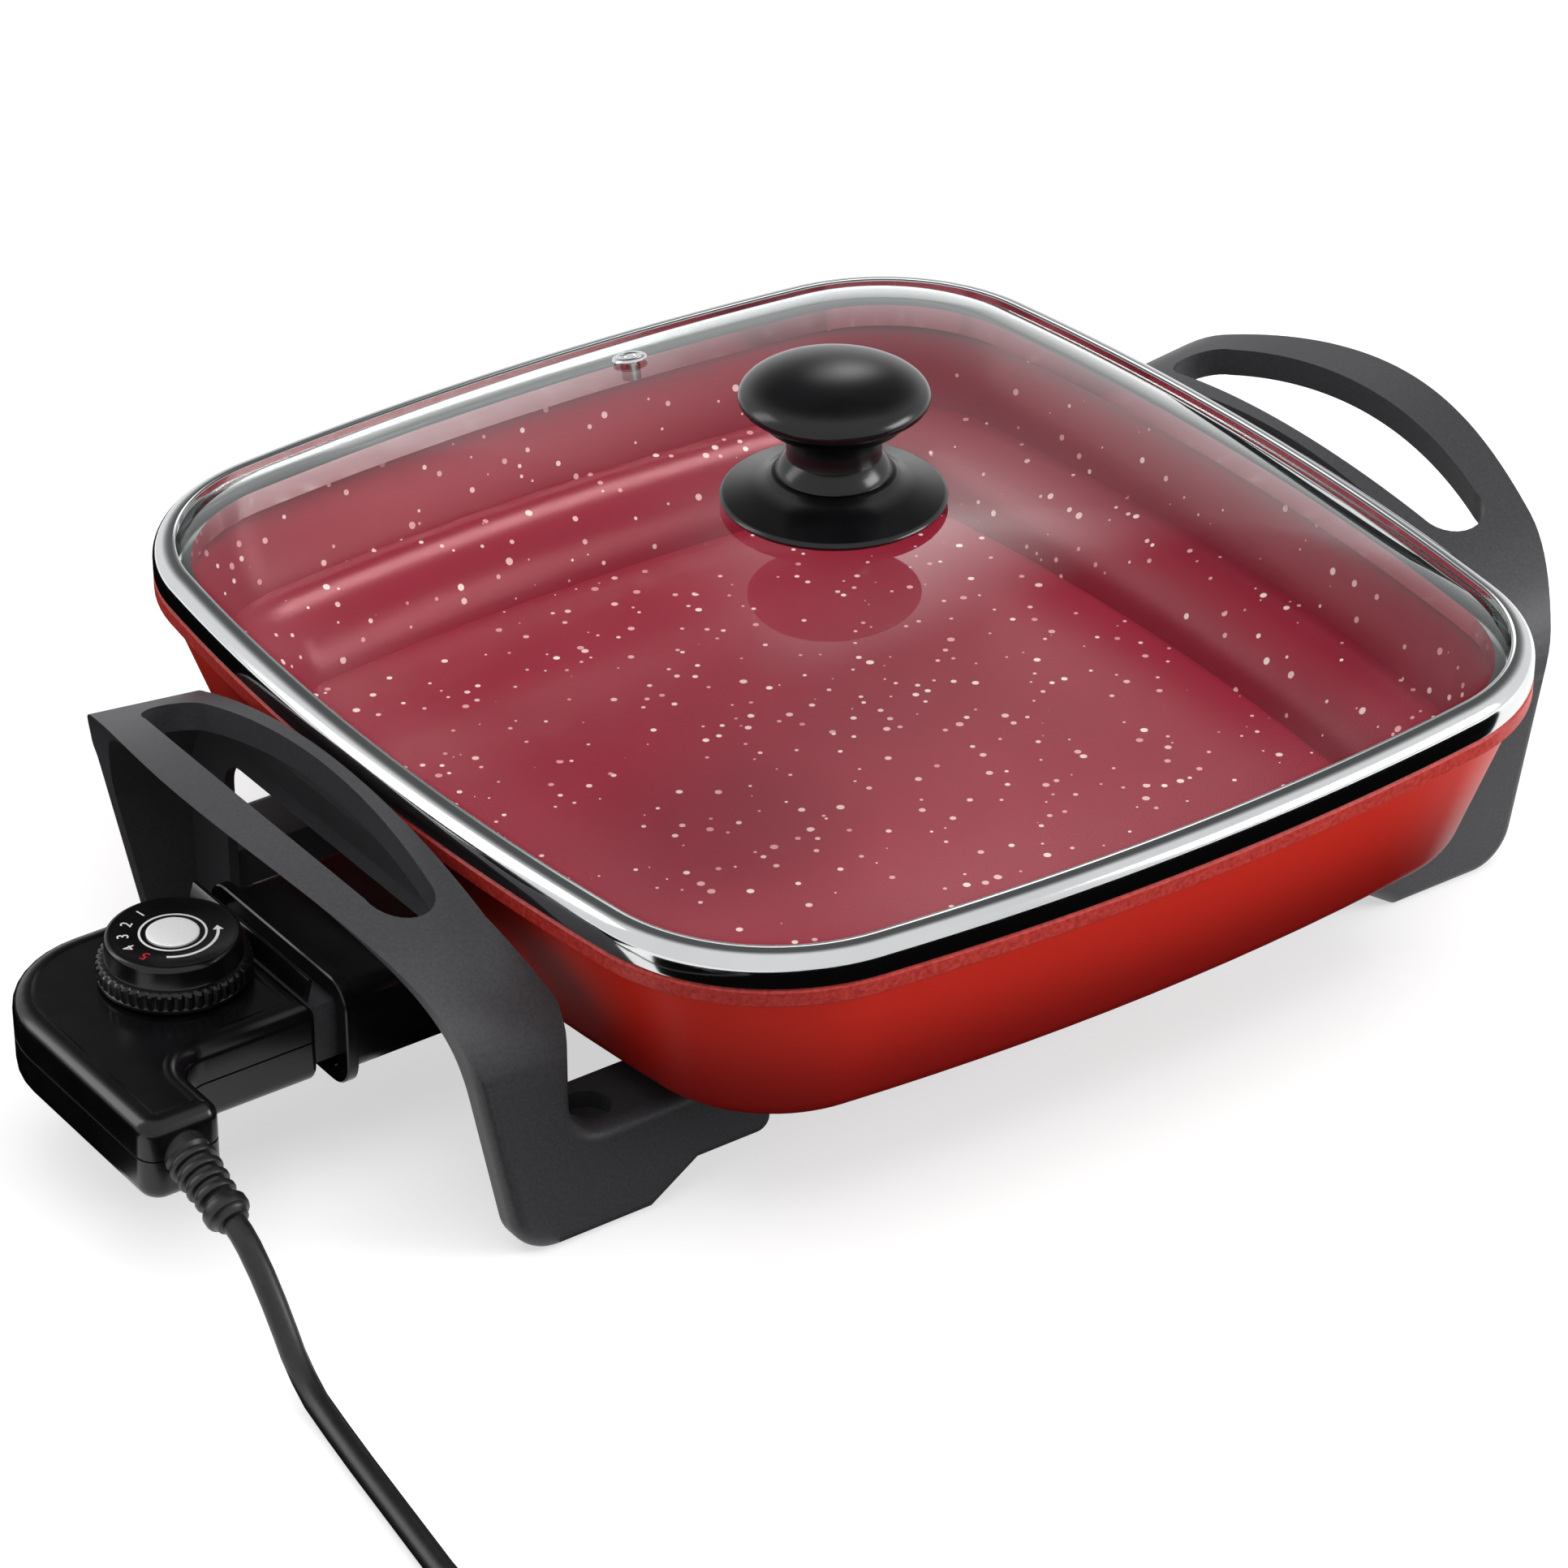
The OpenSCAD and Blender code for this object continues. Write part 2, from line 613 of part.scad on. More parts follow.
// The arch of the strap seen along X, drawn in by t
function arch(t, foot) = concat(
  [[bracket_half_y - t, foot]],
  arc([shoulder_y, shoulder_z], shoulder_r - t, 0, shoulder_angle),
  middle(arc([0, arch_centre_z], crown_r - t, shoulder_angle, 180 - shoulder_angle, 16)),
  arc([-shoulder_y, shoulder_z], shoulder_r - t, 180 - shoulder_angle, 180),
  [[t - bracket_half_y, foot]]);

// A form that runs along X, tilted with the handle
module tilted() translate([tilt_reach, 0, crown_z]) rotate([0, -handle_tilt, 0])
  translate([-strap_half, 0, -crown_z]) rotate([90, 0, 90]) linear_extrude(2 * strap_half) children();

// The strap bent over crown, shoulders and legs
module strap() tilted() difference() {
  polygon(arch(0, -strap_drop));
  polygon(arch(strap_t, -strap_drop - over));
}

// A side outline drawn out to a half width along Y
module across(half) translate([0, half, 0]) rotate([90, 0, 0]) linear_extrude(2 * half) children();

// The wall between the legs, with the opening for the guard
module web() intersection() {
  tilted() polygon(arch(strap_t / 2, -strap_drop));
  difference() {
    across(bracket_half_y) polygon(web_side());
    rotate([90, 0, 90]) linear_extrude(2 * leg_outer) polygon(concat(
      [[web_open_half_y, -over]],
      arc([web_open_half_y - web_open_r, web_open_z - web_open_r], web_open_r, 0, 90),
      arc([web_open_r - web_open_half_y, web_open_z - web_open_r], web_open_r, 90, 180),
      [[-web_open_half_y, -over]]));
  }
}

// The finger slot in plan
function slot_edge(reach, bow, y) = reach - bow * (y / slot_straight)^2;
function slot_plan() = let (
    out = slot_outer - slot_outer_bow, in = slot_inner + slot_inner_bow,
    c = (out + in) / 2, r = (out - in) / 2)
  concat(
    [for (i = [-6:6]) let (y = i * slot_straight / 6) [slot_edge(slot_outer, slot_outer_bow, y), y]],
    [for (a = [30:30:150]) [c + r * cos(a), slot_straight + r * sin(a)]],
    [for (i = [6:-1:-6]) let (y = i * slot_straight / 6) [slot_edge(slot_inner, -slot_inner_bow, y), y]],
    [for (a = [210:30:330]) [c + r * cos(a), -slot_straight + r * sin(a)]]);

// One moulded handle with its two legs and feet, at +X
module bracket() {
  foot_y = bracket_half_y - foot_d;
  difference() {
    union() {
      intersection() {
        strap();
        across(bracket_half_y + over) polygon(bracket_side());
      }
      web();
      for (s = [-1, 1]) intersection() {
        translate([0, s > 0 ? bracket_half_y - strap_t / 2 : -foot_y, 0]) rotate([90, 0, 0])
          linear_extrude(foot_d - strap_t / 2) polygon(bracket_side());
        difference() {
          translate([0, -bracket_half_y, 0]) cube([leg_inner + web_t / 2, 2 * bracket_half_y, pan_bottom_z]);
          translate([seat_outer, -bracket_half_y - over, platform_z])
            cube([2 * leg_outer, 2 * (bracket_half_y + over), pan_bottom_z]);
        }
      }
    }
    translate([0, 0, lip_z - lip_band - strap_t]) linear_extrude(crown_z) polygon(slot_plan());
    for (s = [-1, 1]) {
      translate([arm_inner + foot_wall, s * (foot_y + foot_d / 2) - foot_hollow / 2, -over])
        cube([foot_hollow_l, foot_hollow, platform_z - platform_t + over]);
      translate([bracket_screw_at.x, s * bracket_screw_at.y, 0])
        cylinder(r = bracket_screw_r + screw_clear, h = pan_bottom_z + over);
      translate([recess_at, s * (foot_y + foot_d / 2), platform_z - recess_d])
        cylinder(r = recess_r, h = recess_d + leg_fillet);
    }
  }
}

module control_side_bracket() color("dimgray") at_pan() mirror([1, 0, 0]) bracket();
module far_side_bracket() color("dimgray") at_pan() bracket();

// A round-headed screw that points up, its head's top at z = 0
module screw_up(r, l, head_r, head_h) {
  cylinder(r = r, h = l);
  translate([0, 0, -head_h]) cylinder(r = head_r, h = head_h);
}

module bracket_screws() color("silver") at_pan() for (sx = [-1, 1], sy = [-1, 1])
  translate([sx * bracket_screw_at.x, sy * bracket_screw_at.y, platform_z - platform_t])
    screw_up(bracket_screw_r, pan_bottom_z - platform_z + platform_t + floor_t - screw_short,
      (foot_hollow - 1) / 2, bracket_head_h);

module guard_screws() color("silver") at_pan() for (s = [-1, 1])
  translate([-guard_screw_at.x, s * guard_screw_at.y, guard_bottom_z])
    screw_up(guard_screw_r, pan_bottom_z - guard_bottom_z - screw_short, guard_boss_r - 1, guard_head_h);

// The lid's rim: a steel band with a channel for the glass and a skirt that drops inside the pan
module lid_rim() color("silver") at_pan() translate([0, 0, lip_z]) skin(round_outline(concat(
  [[-skirt_in, 0], [-1, 0]],
  arc([-rim_round, rim_h - rim_round], rim_round, 0, 90, 4),
  [[-rim_w, rim_h], [-rim_w, glass_z + glass_t + seat], [-channel_in, glass_z + glass_t + seat],
   [-channel_in, glass_z - seat], [-skirt_in - skirt_t, glass_z - seat],
   [-skirt_in - skirt_t, -skirt_drop], [-skirt_in, -skirt_drop]])), loop = true);

// Height of the glass above its edge at a share k of the way out from the centre
function dome(k, rise) = rise * (0.6 * (1 - k^6) + 0.4 * (1 - k^2));
function glass_rings(edge, z, rise, ks) = [for (k = ks)
  [for (q = outline(edge)) [k * q.x, k * q.y, z + dome(k, rise)]]];

module lid_glass() color("lightblue", 0.4) at_pan() translate([0, 0, lip_z]) difference() {
  union() {
    skin(concat(
      glass_rings(channel_in + seat + glass_border, glass_z, dome_h - glass_z - glass_t, glass_shares),
      round_outline([[-channel_in - seat, glass_z], [-channel_in - seat, glass_z + glass_t]]),
      [for (i = [len(glass_shares) - 1:-1:0])
        glass_rings(channel_in + seat + glass_border, glass_z + glass_t, dome_h - glass_z - glass_t,
          [glass_shares[i]])[0]]));
  }
  cylinder(r = knob_screw_r + 1, h = 2 * dome_h);
  translate([vent_at.x, vent_at.y, vent_z]) rotate(vent_tilt)
    cylinder(r = vent_tube_r + seat, h = 4 * glass_t, center = true);
}

// The steam vent: a steel eyelet through the glass
module steam_vent() color("silver") at_pan() translate([vent_at.x, vent_at.y, lip_z + vent_z])
  rotate(vent_tilt) difference() {
    union() {
      translate([0, 0, -glass_t - 1]) cylinder(r = vent_tube_r, h = glass_t + vent_tube_l);
      translate([0, 0, vent_seat]) cylinder(r1 = vent_r, r2 = vent_r - 1, h = vent_head_h);
    }
    cylinder(r = vent_tube_r - vent_wall, h = 4 * glass_t, center = true);
  }

// The knob, its base flange and the screw that clamps them to the glass
module knob_gasket() color("dimgray") at_pan() translate([0, 0, lip_z + dome_h]) difference() {
  cylinder(r = gasket_r, h = gasket_t);
  translate([0, 0, -over]) cylinder(r = knob_screw_r + 1, h = gasket_t + 2 * over);
}

module knob_base() color("black") at_pan() translate([0, 0, knob_base_z]) rotate_extrude() polygon(concat(
  [[knob_screw_r + screw_clear, 0], [gasket_r + 1, 0], [knob_base_r - 2, -gasket_t / 2]],
  arc([knob_base_r - knob_edge_r, gasket_t / 2], knob_edge_r, -60, 60, 4),
  [[collar_r + base_step.x, knob_base_h - base_step.y],
   [collar_r + 1, knob_base_h], [knob_screw_r + screw_clear, knob_base_h]]));

module knob() color("black") at_pan() translate([0, 0, knob_base_z + knob_base_h]) difference() {
  rotate_extrude() polygon(concat(
    [[0, 0], [collar_r, 0]],
    arc([collar_r - collar_edge_r, collar_h - collar_edge_r], collar_edge_r, 0, 90, 3),
    arc([neck_r + neck_round, neck_z], neck_round, 240, 150, 4),
    [[neck_r, knob_neck_h - neck_round]],
    [for (a = [-75:15:90]) [knob_r * cos(a), knob_neck_h + knob_t / 2 * (1 + sin(a))]]));
  translate([0, 0, -over]) cylinder(r = knob_screw_r + seat, h = knob_screw_l + over);
}

module knob_washer() color("silver") at_pan()
  translate([0, 0, washer_z]) difference() {
    cylinder(r = washer_r, h = washer_t);
    translate([0, 0, -over]) cylinder(r = knob_screw_r + screw_clear, h = washer_t + 2 * over);
  }

module knob_screw() color("silver") at_pan() translate([0, 0, washer_z])
  screw_up(knob_screw_r, glass_t + washer_t + gasket_t + knob_base_h + knob_screw_l - 1,
    knob_head_r, knob_head_h);

// The control's outline seen from above, inset by d: a neck toward the pan and an arm for the cord
function control_corner(p, s, r, d, a) = let (q = max(r - d, least_r)) arc(p + (d + q) * s, q, a, a + 90);
function control_plan(d) = concat(
  control_corner([-control_front, -neck_half_y], [-1, 1], front_corner_r, d, 270),
  control_corner([-control_front, neck_half_y], [-1, -1], front_corner_r, d, 0),
  control_corner([-control_reach, neck_half_y], [1, -1], control_corner_r, d, 90),
  control_corner([-control_reach, -cord_face_y], [1, 1], arm_outer_r, d, 180),
  control_corner([-arm_inner_x, -cord_face_y], [-1, 1], arm_inner_r, d, 270),
  arc([control_fillet_r - arm_inner_x, -neck_half_y - control_fillet_r], control_fillet_r + d, 180, 90));

// The control's solid form, inset by d, with its outer edges rounded
module control_body(d) {
  r = max(control_edge_r - d, least_r);
  bottom = control_bottom_z + d;
  top = control_top_z - d;
  intersection() {
    translate([0, 0, bottom]) linear_extrude(top - bottom) polygon(control_plan(d));
    rotate([90, 0, 0]) linear_extrude(4 * cord_face_y, center = true) polygon(concat(
      [[0, bottom], [0, top]],
      arc([d + r - control_reach, top - r], r, 90, 180),
      arc([d + r - control_reach, bottom + r], r, 180, 270)));
    rotate([90, 0, -90]) linear_extrude(2 * control_reach) polygon(concat(
      arc([d + r - neck_half_y, bottom + r], r, 180, 270), arc([cord_face_y - d - r, bottom + r], r, 270, 360),
      arc([cord_face_y - d - r, top - r], r, 0, 90), arc([d + r - neck_half_y, top - r], r, 90, 180)));
  }
}

module control_half(z0, z1) intersection() {
  control_body(0);
  translate([-control_reach - over, -cord_face_y - over, z0])
    cube([control_reach, cord_face_y + neck_half_y + 2 * over, z1 - z0]);
}

// The openings shared by the two halves: the terminal block's mouth and the cord's hole
module control_openings() {
  translate([-control_front - control_wall - over, -block_half_y - block_clear, block_z - block_clear])
    cube([control_wall + 2 * over, 2 * (block_half_y + block_clear), block_h + 2 * block_clear]);
  translate([-cord_x, -cord_face_y - over, control_split_z]) rotate([-90, 0, 0])
    cylinder(r = relief_r + seat, h = control_wall + 2 * over);
}

module control_top_cover() color("black") at_pan() {
  difference() {
    union() {
      difference() {
        control_half(control_split_z, control_top_z + over);
        control_body(control_wall);
      }
      for (p = control_screw_at) translate([p.x, p.y, control_split_z])
        cylinder(r = control_boss_r, h = control_top_z - control_wall - control_split_z + seat);
    }
    control_openings();
    translate([-dial_reach, 0, control_top_z - control_wall - over])
      cylinder(r = spindle_r + seat, h = control_wall + 2 * over);
    for (p = control_screw_at) translate([p.x, p.y, control_split_z - over])
      cylinder(r = control_screw_r + seat, h = control_screw_top - control_split_z + over);
  }
  rotate([90, 0, 0]) linear_extrude(2 * (neck_half_y - front_corner_r - control_edge_r / 2), center = true)
    polygon([[-control_front - lip_base_t, control_top_z - seat],
      [-control_front, control_top_z - control_wall],
      [lip_lean - control_front, control_top_z + front_lip_h],
      [lip_lean - control_front - lip_top_t, control_top_z + front_lip_h]]);
}

module control_base_cover() color("black") at_pan() difference() {
  union() {
    difference() {
      control_half(control_bottom_z - over, control_split_z);
      control_body(control_wall);
    }
    for (p = control_screw_at) translate([p.x, p.y, control_floor_z - seat])
      cylinder(r = control_boss_r, h = control_split_z - control_floor_z + seat);
    translate([-frame_pad.x - frame_pad_l / 2, -frame_half_y, control_floor_z - seat])
      cube([frame_pad_l, 2 * frame_half_y, frame_z - control_floor_z + seat]);
  }
  control_openings();
  for (p = control_screw_at) translate([p.x, p.y, control_bottom_z - over]) {
    cylinder(r = control_screw_r + screw_clear, h = control_split_z);
    cylinder(r = control_head_r + screw_clear, h = control_head_h + over);
  }
  translate([-stack_x, 0, control_floor_z]) cylinder(r = rivet_head_r + screw_clear, h = frame_z);
}

module control_screws() color("silver") at_pan() for (p = control_screw_at)
  translate([p.x, p.y, control_bottom_z + control_head_h])
    screw_up(control_screw_r, control_screw_top - control_bottom_z - control_head_h - over,
      control_head_r, control_head_h - seat);

// The terminal block carries the sockets and the probe into the guard
module terminal_block() color("dimgray") at_pan() difference() {
  union() {
    translate([-block_back, -block_half_y, block_z])
      cube([block_back - block_front, 2 * block_half_y, block_h]);
    translate([-block_back, -block_half_y - block_flange, block_z])
      cube([block_back - control_front - control_wall - seat, 2 * (block_half_y + block_flange), block_h]);
  }
  for (s = [-1, 1]) translate([-block_back - over, s * pin_y, element_z]) rotate([0, 90, 0])
    cylinder(r = socket_r + seat, h = block_back - block_front + 2 * over);
  translate([-block_back - over, 0, element_z]) rotate([0, 90, 0])
    cylinder(r = probe_r + seat, h = block_back - block_front + 2 * over);
}

module terminal_sockets() color("gold") at_pan() for (s = [-1, 1])
  translate([-block_back - socket_tail, s * pin_y, element_z]) rotate([0, 90, 0]) difference() {
    cylinder(r = socket_r, h = block_back + socket_tail - block_front - over);
    translate([0, 0, socket_tail]) cylinder(r = pin_r + plug_clear, h = block_back);
  }

module probe_tube() color("silver") at_pan() translate([-tube_back, 0, element_z]) rotate([0, 90, 0])
  difference() {
    union() {
      cylinder(r = probe_r, h = tube_back - probe_tip - probe_nose);
      translate([0, 0, tube_back - probe_tip - probe_nose])
        cylinder(r1 = probe_r, r2 = probe_r - probe_nose, h = probe_nose);
    }
    translate([0, 0, -over]) cylinder(r = rod_r + plug_clear, h = tube_back - probe_tip - probe_nose + over);
  }

module probe_rod() color("gray") at_pan() translate([-tube_back - rod_tail, 0, element_z]) rotate([0, 90, 0])
  cylinder(r = rod_r, h = tube_back + rod_tail - probe_tip - probe_nose - seat);

// The thermostat: a plate with two contact blades stacked on a rivet, worked by the rod and the spindle
module thermostat_frame() color("silver") at_pan() difference() {
  union() {
    translate([-stack_x - stack_r, -frame_half_y, frame_z])
      cube([stack_x + stack_r - tab_x, 2 * frame_half_y, frame_t]);
    translate([-tab_x - frame_t, -frame_half_y, frame_z]) cube([frame_t, 2 * frame_half_y, tab_h]);
  }
  translate([-stack_x, 0, frame_z - over]) cylinder(r = rivet_r + seat, h = frame_t + 2 * over);
  translate([-tab_x - frame_t - over, 0, element_z]) rotate([0, 90, 0])
    cylinder(r = rod_r + plug_clear, h = frame_t + 2 * over);
}

module ring(r, hole, h) difference() {
  cylinder(r = r, h = h);
  translate([0, 0, -over]) cylinder(r = hole, h = h + 2 * over);
}

module contact_insulators() color("ivory") at_pan() for (k = [0:2])
  translate([-stack_x, 0, stack_z[k]]) ring(stack_r, rivet_r + seat, stack_h[k]);

module contact_rivet() color("gold") at_pan() translate([-stack_x, 0, 0]) {
  translate([0, 0, frame_z - over]) cylinder(r = rivet_r, h = stack_top - frame_z + 2 * over);
  translate([0, 0, stack_top]) cylinder(r = rivet_head_r, h = rivet_head_h);
  translate([0, 0, frame_z - rivet_head_h]) cylinder(r = rivet_head_r, h = rivet_head_h);
}

// A contact blade with its button on the side s
module blade(z, tip, s) difference() {
  union() {
    translate([-stack_x - stack_r - over, -blade_half_y, z])
      cube([stack_x + stack_r + over - tip, 2 * blade_half_y, blade_t]);
    translate([-contact_x, 0, s > 0 ? z + blade_t - seat : z - button_h])
      cylinder(r = button_r, h = button_h + seat);
  }
  translate([-stack_x, 0, z - over]) cylinder(r = rivet_r + seat, h = blade_t + 2 * over);
}

module fixed_contact_blade() color("gold") at_pan() blade(stack_z[1] - blade_t, contact_x - fixed_tip, 1);
module moving_contact_blade() color("gold") at_pan()
  blade(stack_z[2] - blade_t, dial_reach - moving_tip, -1);

module cord_clamp() color("dimgray") at_pan()
  translate([-cord_x, clamp_y, control_floor_z + seat]) difference() {
    translate([-clamp_half_x, -clamp_l / 2, 0])
      cube([2 * clamp_half_x, clamp_l, control_split_z - control_floor_z + clamp_top]);
    translate([0, clamp_l, control_split_z - control_floor_z - seat]) rotate([90, 0, 0])
      cylinder(r = cord_d / 2 + seat, h = 2 * clamp_l);
  }

// The strain relief: a plug held in the wall, an inner tail in the clamp and a ribbed sleeve outside
module strain_relief() color("black") at_pan() translate([-cord_x, -cord_face_y, control_split_z]) {
  rotate([-90, 0, 0]) {
    translate([0, 0, -over]) cylinder(r = relief_r, h = control_wall + 2 * over);
    translate([0, 0, control_wall + seat]) cylinder(r = relief_r + relief_lock_rise, h = relief_lock_t);
    cylinder(r = cord_d / 2, h = cord_face_y + clamp_y + clamp_l);
  }
  rotate([90 + relief_droop, 0, 0]) {
    translate([0, 0, relief_bend]) cylinder(r1 = relief_r - 1, r2 = relief_end_r, h = relief_l - relief_bend);
    translate([0, 0, -relief_sink]) cylinder(r = relief_r - 1, h = relief_bend + relief_sink);
    for (k = [0:relief_ribs - 1]) translate([0, 0, relief_bend + k * relief_pitch])
      cylinder(r = relief_r + relief_rib_rise - k * relief_taper, h = relief_rib_t);
  }
}

// The dial turns with its spindle
module dial() color("black") at_pan() translate([-dial_reach, 0, dial_z]) difference() {
  union() {
    linear_extrude(skirt_h) polygon([for (i = [0:2 * groove_count - 1])
      let (a = 180 * (i + 0.5) / groove_count) (skirt_r - (i % 4 > 1 ? 0 : groove_d)) * [cos(a), sin(a)]]);
    rotate_extrude() polygon(concat([[0, 0], [dial_r, 0]],
      arc([dial_r - dial_edge_r, dial_h - dial_edge_r], dial_edge_r, 0, 90, 4), [[0, dial_h]]));
  }
  translate([0, 0, -over]) cylinder(r = spindle_r + seat, h = spindle_grip + over);
  translate([0, 0, dial_h - lens_t]) cylinder(r = lens_r, h = lens_t + over);
}

module dial_cap() color("silver") at_pan() translate([-dial_reach, 0, dial_z + dial_h - lens_t])
  cylinder(r = lens_r - seat, h = lens_t + lens_proud);

module dial_spindle() color("silver") at_pan() translate([-dial_reach, 0, spindle_z])
  cylinder(r = spindle_r, h = dial_z + spindle_grip - seat - spindle_z);

// A tube of n sides along a path
function unit(v) = v / norm(v);
function tube_rings(path, r, n) = let (last = len(path) - 1) [for (i = [0:last]) let (
    t = unit(path[min(i + 1, last)] - path[max(i - 1, 0)]),
    side = unit(cross(t, [0, 0, 1])),
    up = cross(side, t))
  [for (k = [0:n - 1]) let (a = 360 * (k + 0.5) / n) path[i] + r * (cos(a) * up + sin(a) * side)]];

function coil_r(t) = coil_inner_r + coil_pitch * abs(t - coil_turns / 2);
function coil_z(t) = coil_low_z
  + coil_pitch * min(max((t - coil_turns / 2 + coil_climb / 2) / coil_climb, 0), 1);
coil_path = [for (i = [0:coil_turns * coil_steps]) let (t = i / coil_steps)
  [coil_at.x + coil_r(t) * cos(-360 * t), coil_at.y + coil_r(t) * sin(-360 * t), coil_z(t)]];
coil_least = min([for (i = [0:len(coil_path) - 1], j = [i + coil_steps / 2:len(coil_path) - 1])
  norm(coil_path[i] - coil_path[j])]) - cord_d;
echo(coil_least_gap = coil_least);

coil_in = unit(coil_path[1] - coil_path[0]);
coil_end = coil_path[len(coil_path) - 1];
coil_out = unit(coil_end - coil_path[len(coil_path) - 2]);

module cord_lead() color("black") at_pan() skin(tube_rings(concat(lead_route,
  [coil_path[0] - cord_d * coil_in, coil_path[0] - cord_joint * coil_in]), cord_d / 2, 8));
module cord_coil() color("black") at_pan() skin(tube_rings(coil_path, cord_d / 2, 6));
module cord_tail() color("black") at_pan() skin(tube_rings(concat(
  [coil_end + cord_joint * coil_out, coil_end + cord_d * coil_out], tail_route), cord_d / 2, 8));

// The tie goes round the coil's strands on its far side
module cord_tie() color("dimgray") at_pan()
  translate([coil_at.x, coil_at.y + tie_r, tie_mid_z]) rotate([90, 0, 90])
    linear_extrude(tie_w, center = true) difference() {
      polygon(round_rect(tie_half + [tie_t, tie_t], tie_corner_r + tie_t));
      polygon(round_rect(tie_half, tie_corner_r));
    }

module plug_body() color("black") at_pan() translate([plug_at.x, plug_at.y, 0]) skin([for (p = plug_section)
  [for (q = round_rect([p[1], p[2]], p[3])) [-q.x, p[0], plug_z + q.y]]]);

module plug_pins() color("silver") at_pan() for (s = [-1, 1])
  translate([plug_at.x + s * blade_gap / 2 - plug_blade.x / 2, plug_at.y + plug_l, plug_z - plug_blade.z / 2])
    cube(plug_blade);

pan();
heating_element();
terminal_pins();
terminal_insulators();
terminal_guard();
control_side_bracket();
far_side_bracket();
bracket_screws();
guard_screws();
lid_glass();
lid_rim();
steam_vent();
knob();
knob_base();
knob_gasket();
knob_washer();
knob_screw();
control_top_cover();
control_base_cover();
terminal_block();
terminal_sockets();
probe_tube();
probe_rod();
thermostat_frame();
fixed_contact_blade();
moving_contact_blade();
contact_insulators();
contact_rivet();
cord_clamp();
control_screws();
strain_relief();
dial();
dial_cap();
dial_spindle();
cord_lead();
cord_coil();
cord_tie();
cord_tail();
plug_body();
plug_pins();
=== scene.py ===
"""Looks of the square electric skillet: cast pan, glass lid, handle brackets, plug-in control and cord."""
import math

import bmesh
import bpy
from mathutils import Matrix, Vector


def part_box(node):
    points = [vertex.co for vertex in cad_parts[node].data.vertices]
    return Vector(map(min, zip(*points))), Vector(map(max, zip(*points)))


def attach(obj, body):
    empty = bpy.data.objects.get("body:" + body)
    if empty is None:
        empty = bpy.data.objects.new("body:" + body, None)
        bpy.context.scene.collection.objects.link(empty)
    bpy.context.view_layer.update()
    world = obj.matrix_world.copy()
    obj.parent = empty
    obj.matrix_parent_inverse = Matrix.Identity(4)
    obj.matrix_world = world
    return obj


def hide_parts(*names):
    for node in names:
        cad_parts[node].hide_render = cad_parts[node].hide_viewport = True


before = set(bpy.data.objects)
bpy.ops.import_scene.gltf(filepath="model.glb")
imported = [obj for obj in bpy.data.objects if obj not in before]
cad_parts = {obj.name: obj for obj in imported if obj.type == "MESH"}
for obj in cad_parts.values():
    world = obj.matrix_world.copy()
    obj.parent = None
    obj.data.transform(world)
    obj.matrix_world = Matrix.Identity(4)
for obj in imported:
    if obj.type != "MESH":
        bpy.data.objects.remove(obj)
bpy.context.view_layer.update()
MM = 0.001
pan_low, pan_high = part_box("pan")
PAN_X = (pan_low[0] + pan_high[0]) / 2 / MM
LIP_Z = pan_high[2] / MM
POLE_R = 0.01  # mm, kept by a profile's point on its axis
WELD = 1e-6    # m, points nearer than this become one


# Drawing helpers, in millimetres from the pan's centre on the table

def linked(name, data):
    """A new object with that data, linked into the scene."""
    made = bpy.data.objects.new(name, data)
    bpy.context.collection.objects.link(made)
    return made


def outward(mesh, weld=False):
    """Turns a mesh's normals outward, and first makes one of points that coincide if asked."""
    work = bmesh.new()
    work.from_mesh(mesh)
    if weld:
        bmesh.ops.remove_doubles(work, verts=work.verts, dist=WELD)
    bmesh.ops.recalc_face_normals(work, faces=work.faces)
    work.to_mesh(mesh)
    work.free()


def arc(cx, cy, r, a0, a1, n):
    return [(cx + r * math.cos(math.radians(a0 + (a1 - a0) * i / n)),
             cy + r * math.sin(math.radians(a0 + (a1 - a0) * i / n))) for i in range(n + 1)]


def round_rect(half_x, half_y, r, n=6):
    points = []
    for k, (sx, sy) in enumerate([(1, 1), (-1, 1), (-1, -1), (1, -1)]):
        points += arc(sx * (half_x - r), sy * (half_y - r), r, 90 * k, 90 * k + 90, n)
    return points


PAN_HALF = (153.0, 160.0)
CORNER_R, SIDE_R = 57.5, 790.0
SIDE_CX, SIDE_CY = PAN_HALF[0] - SIDE_R, PAN_HALF[1] - SIDE_R
CENTRE_GAP = math.hypot(SIDE_CX, SIDE_CY)
CORNER_RISE = math.sqrt((SIDE_R - CORNER_R) ** 2 - CENTRE_GAP ** 2 / 4)
CORNER = (SIDE_CX / 2 - SIDE_CY / CENTRE_GAP * CORNER_RISE, SIDE_CY / 2 - SIDE_CX / CENTRE_GAP * CORNER_RISE)
CORNER_START = math.degrees(math.atan2(CORNER[1], CORNER[0] - SIDE_CX))
CORNER_END = math.degrees(math.atan2(CORNER[1] - SIDE_CY, CORNER[0]))


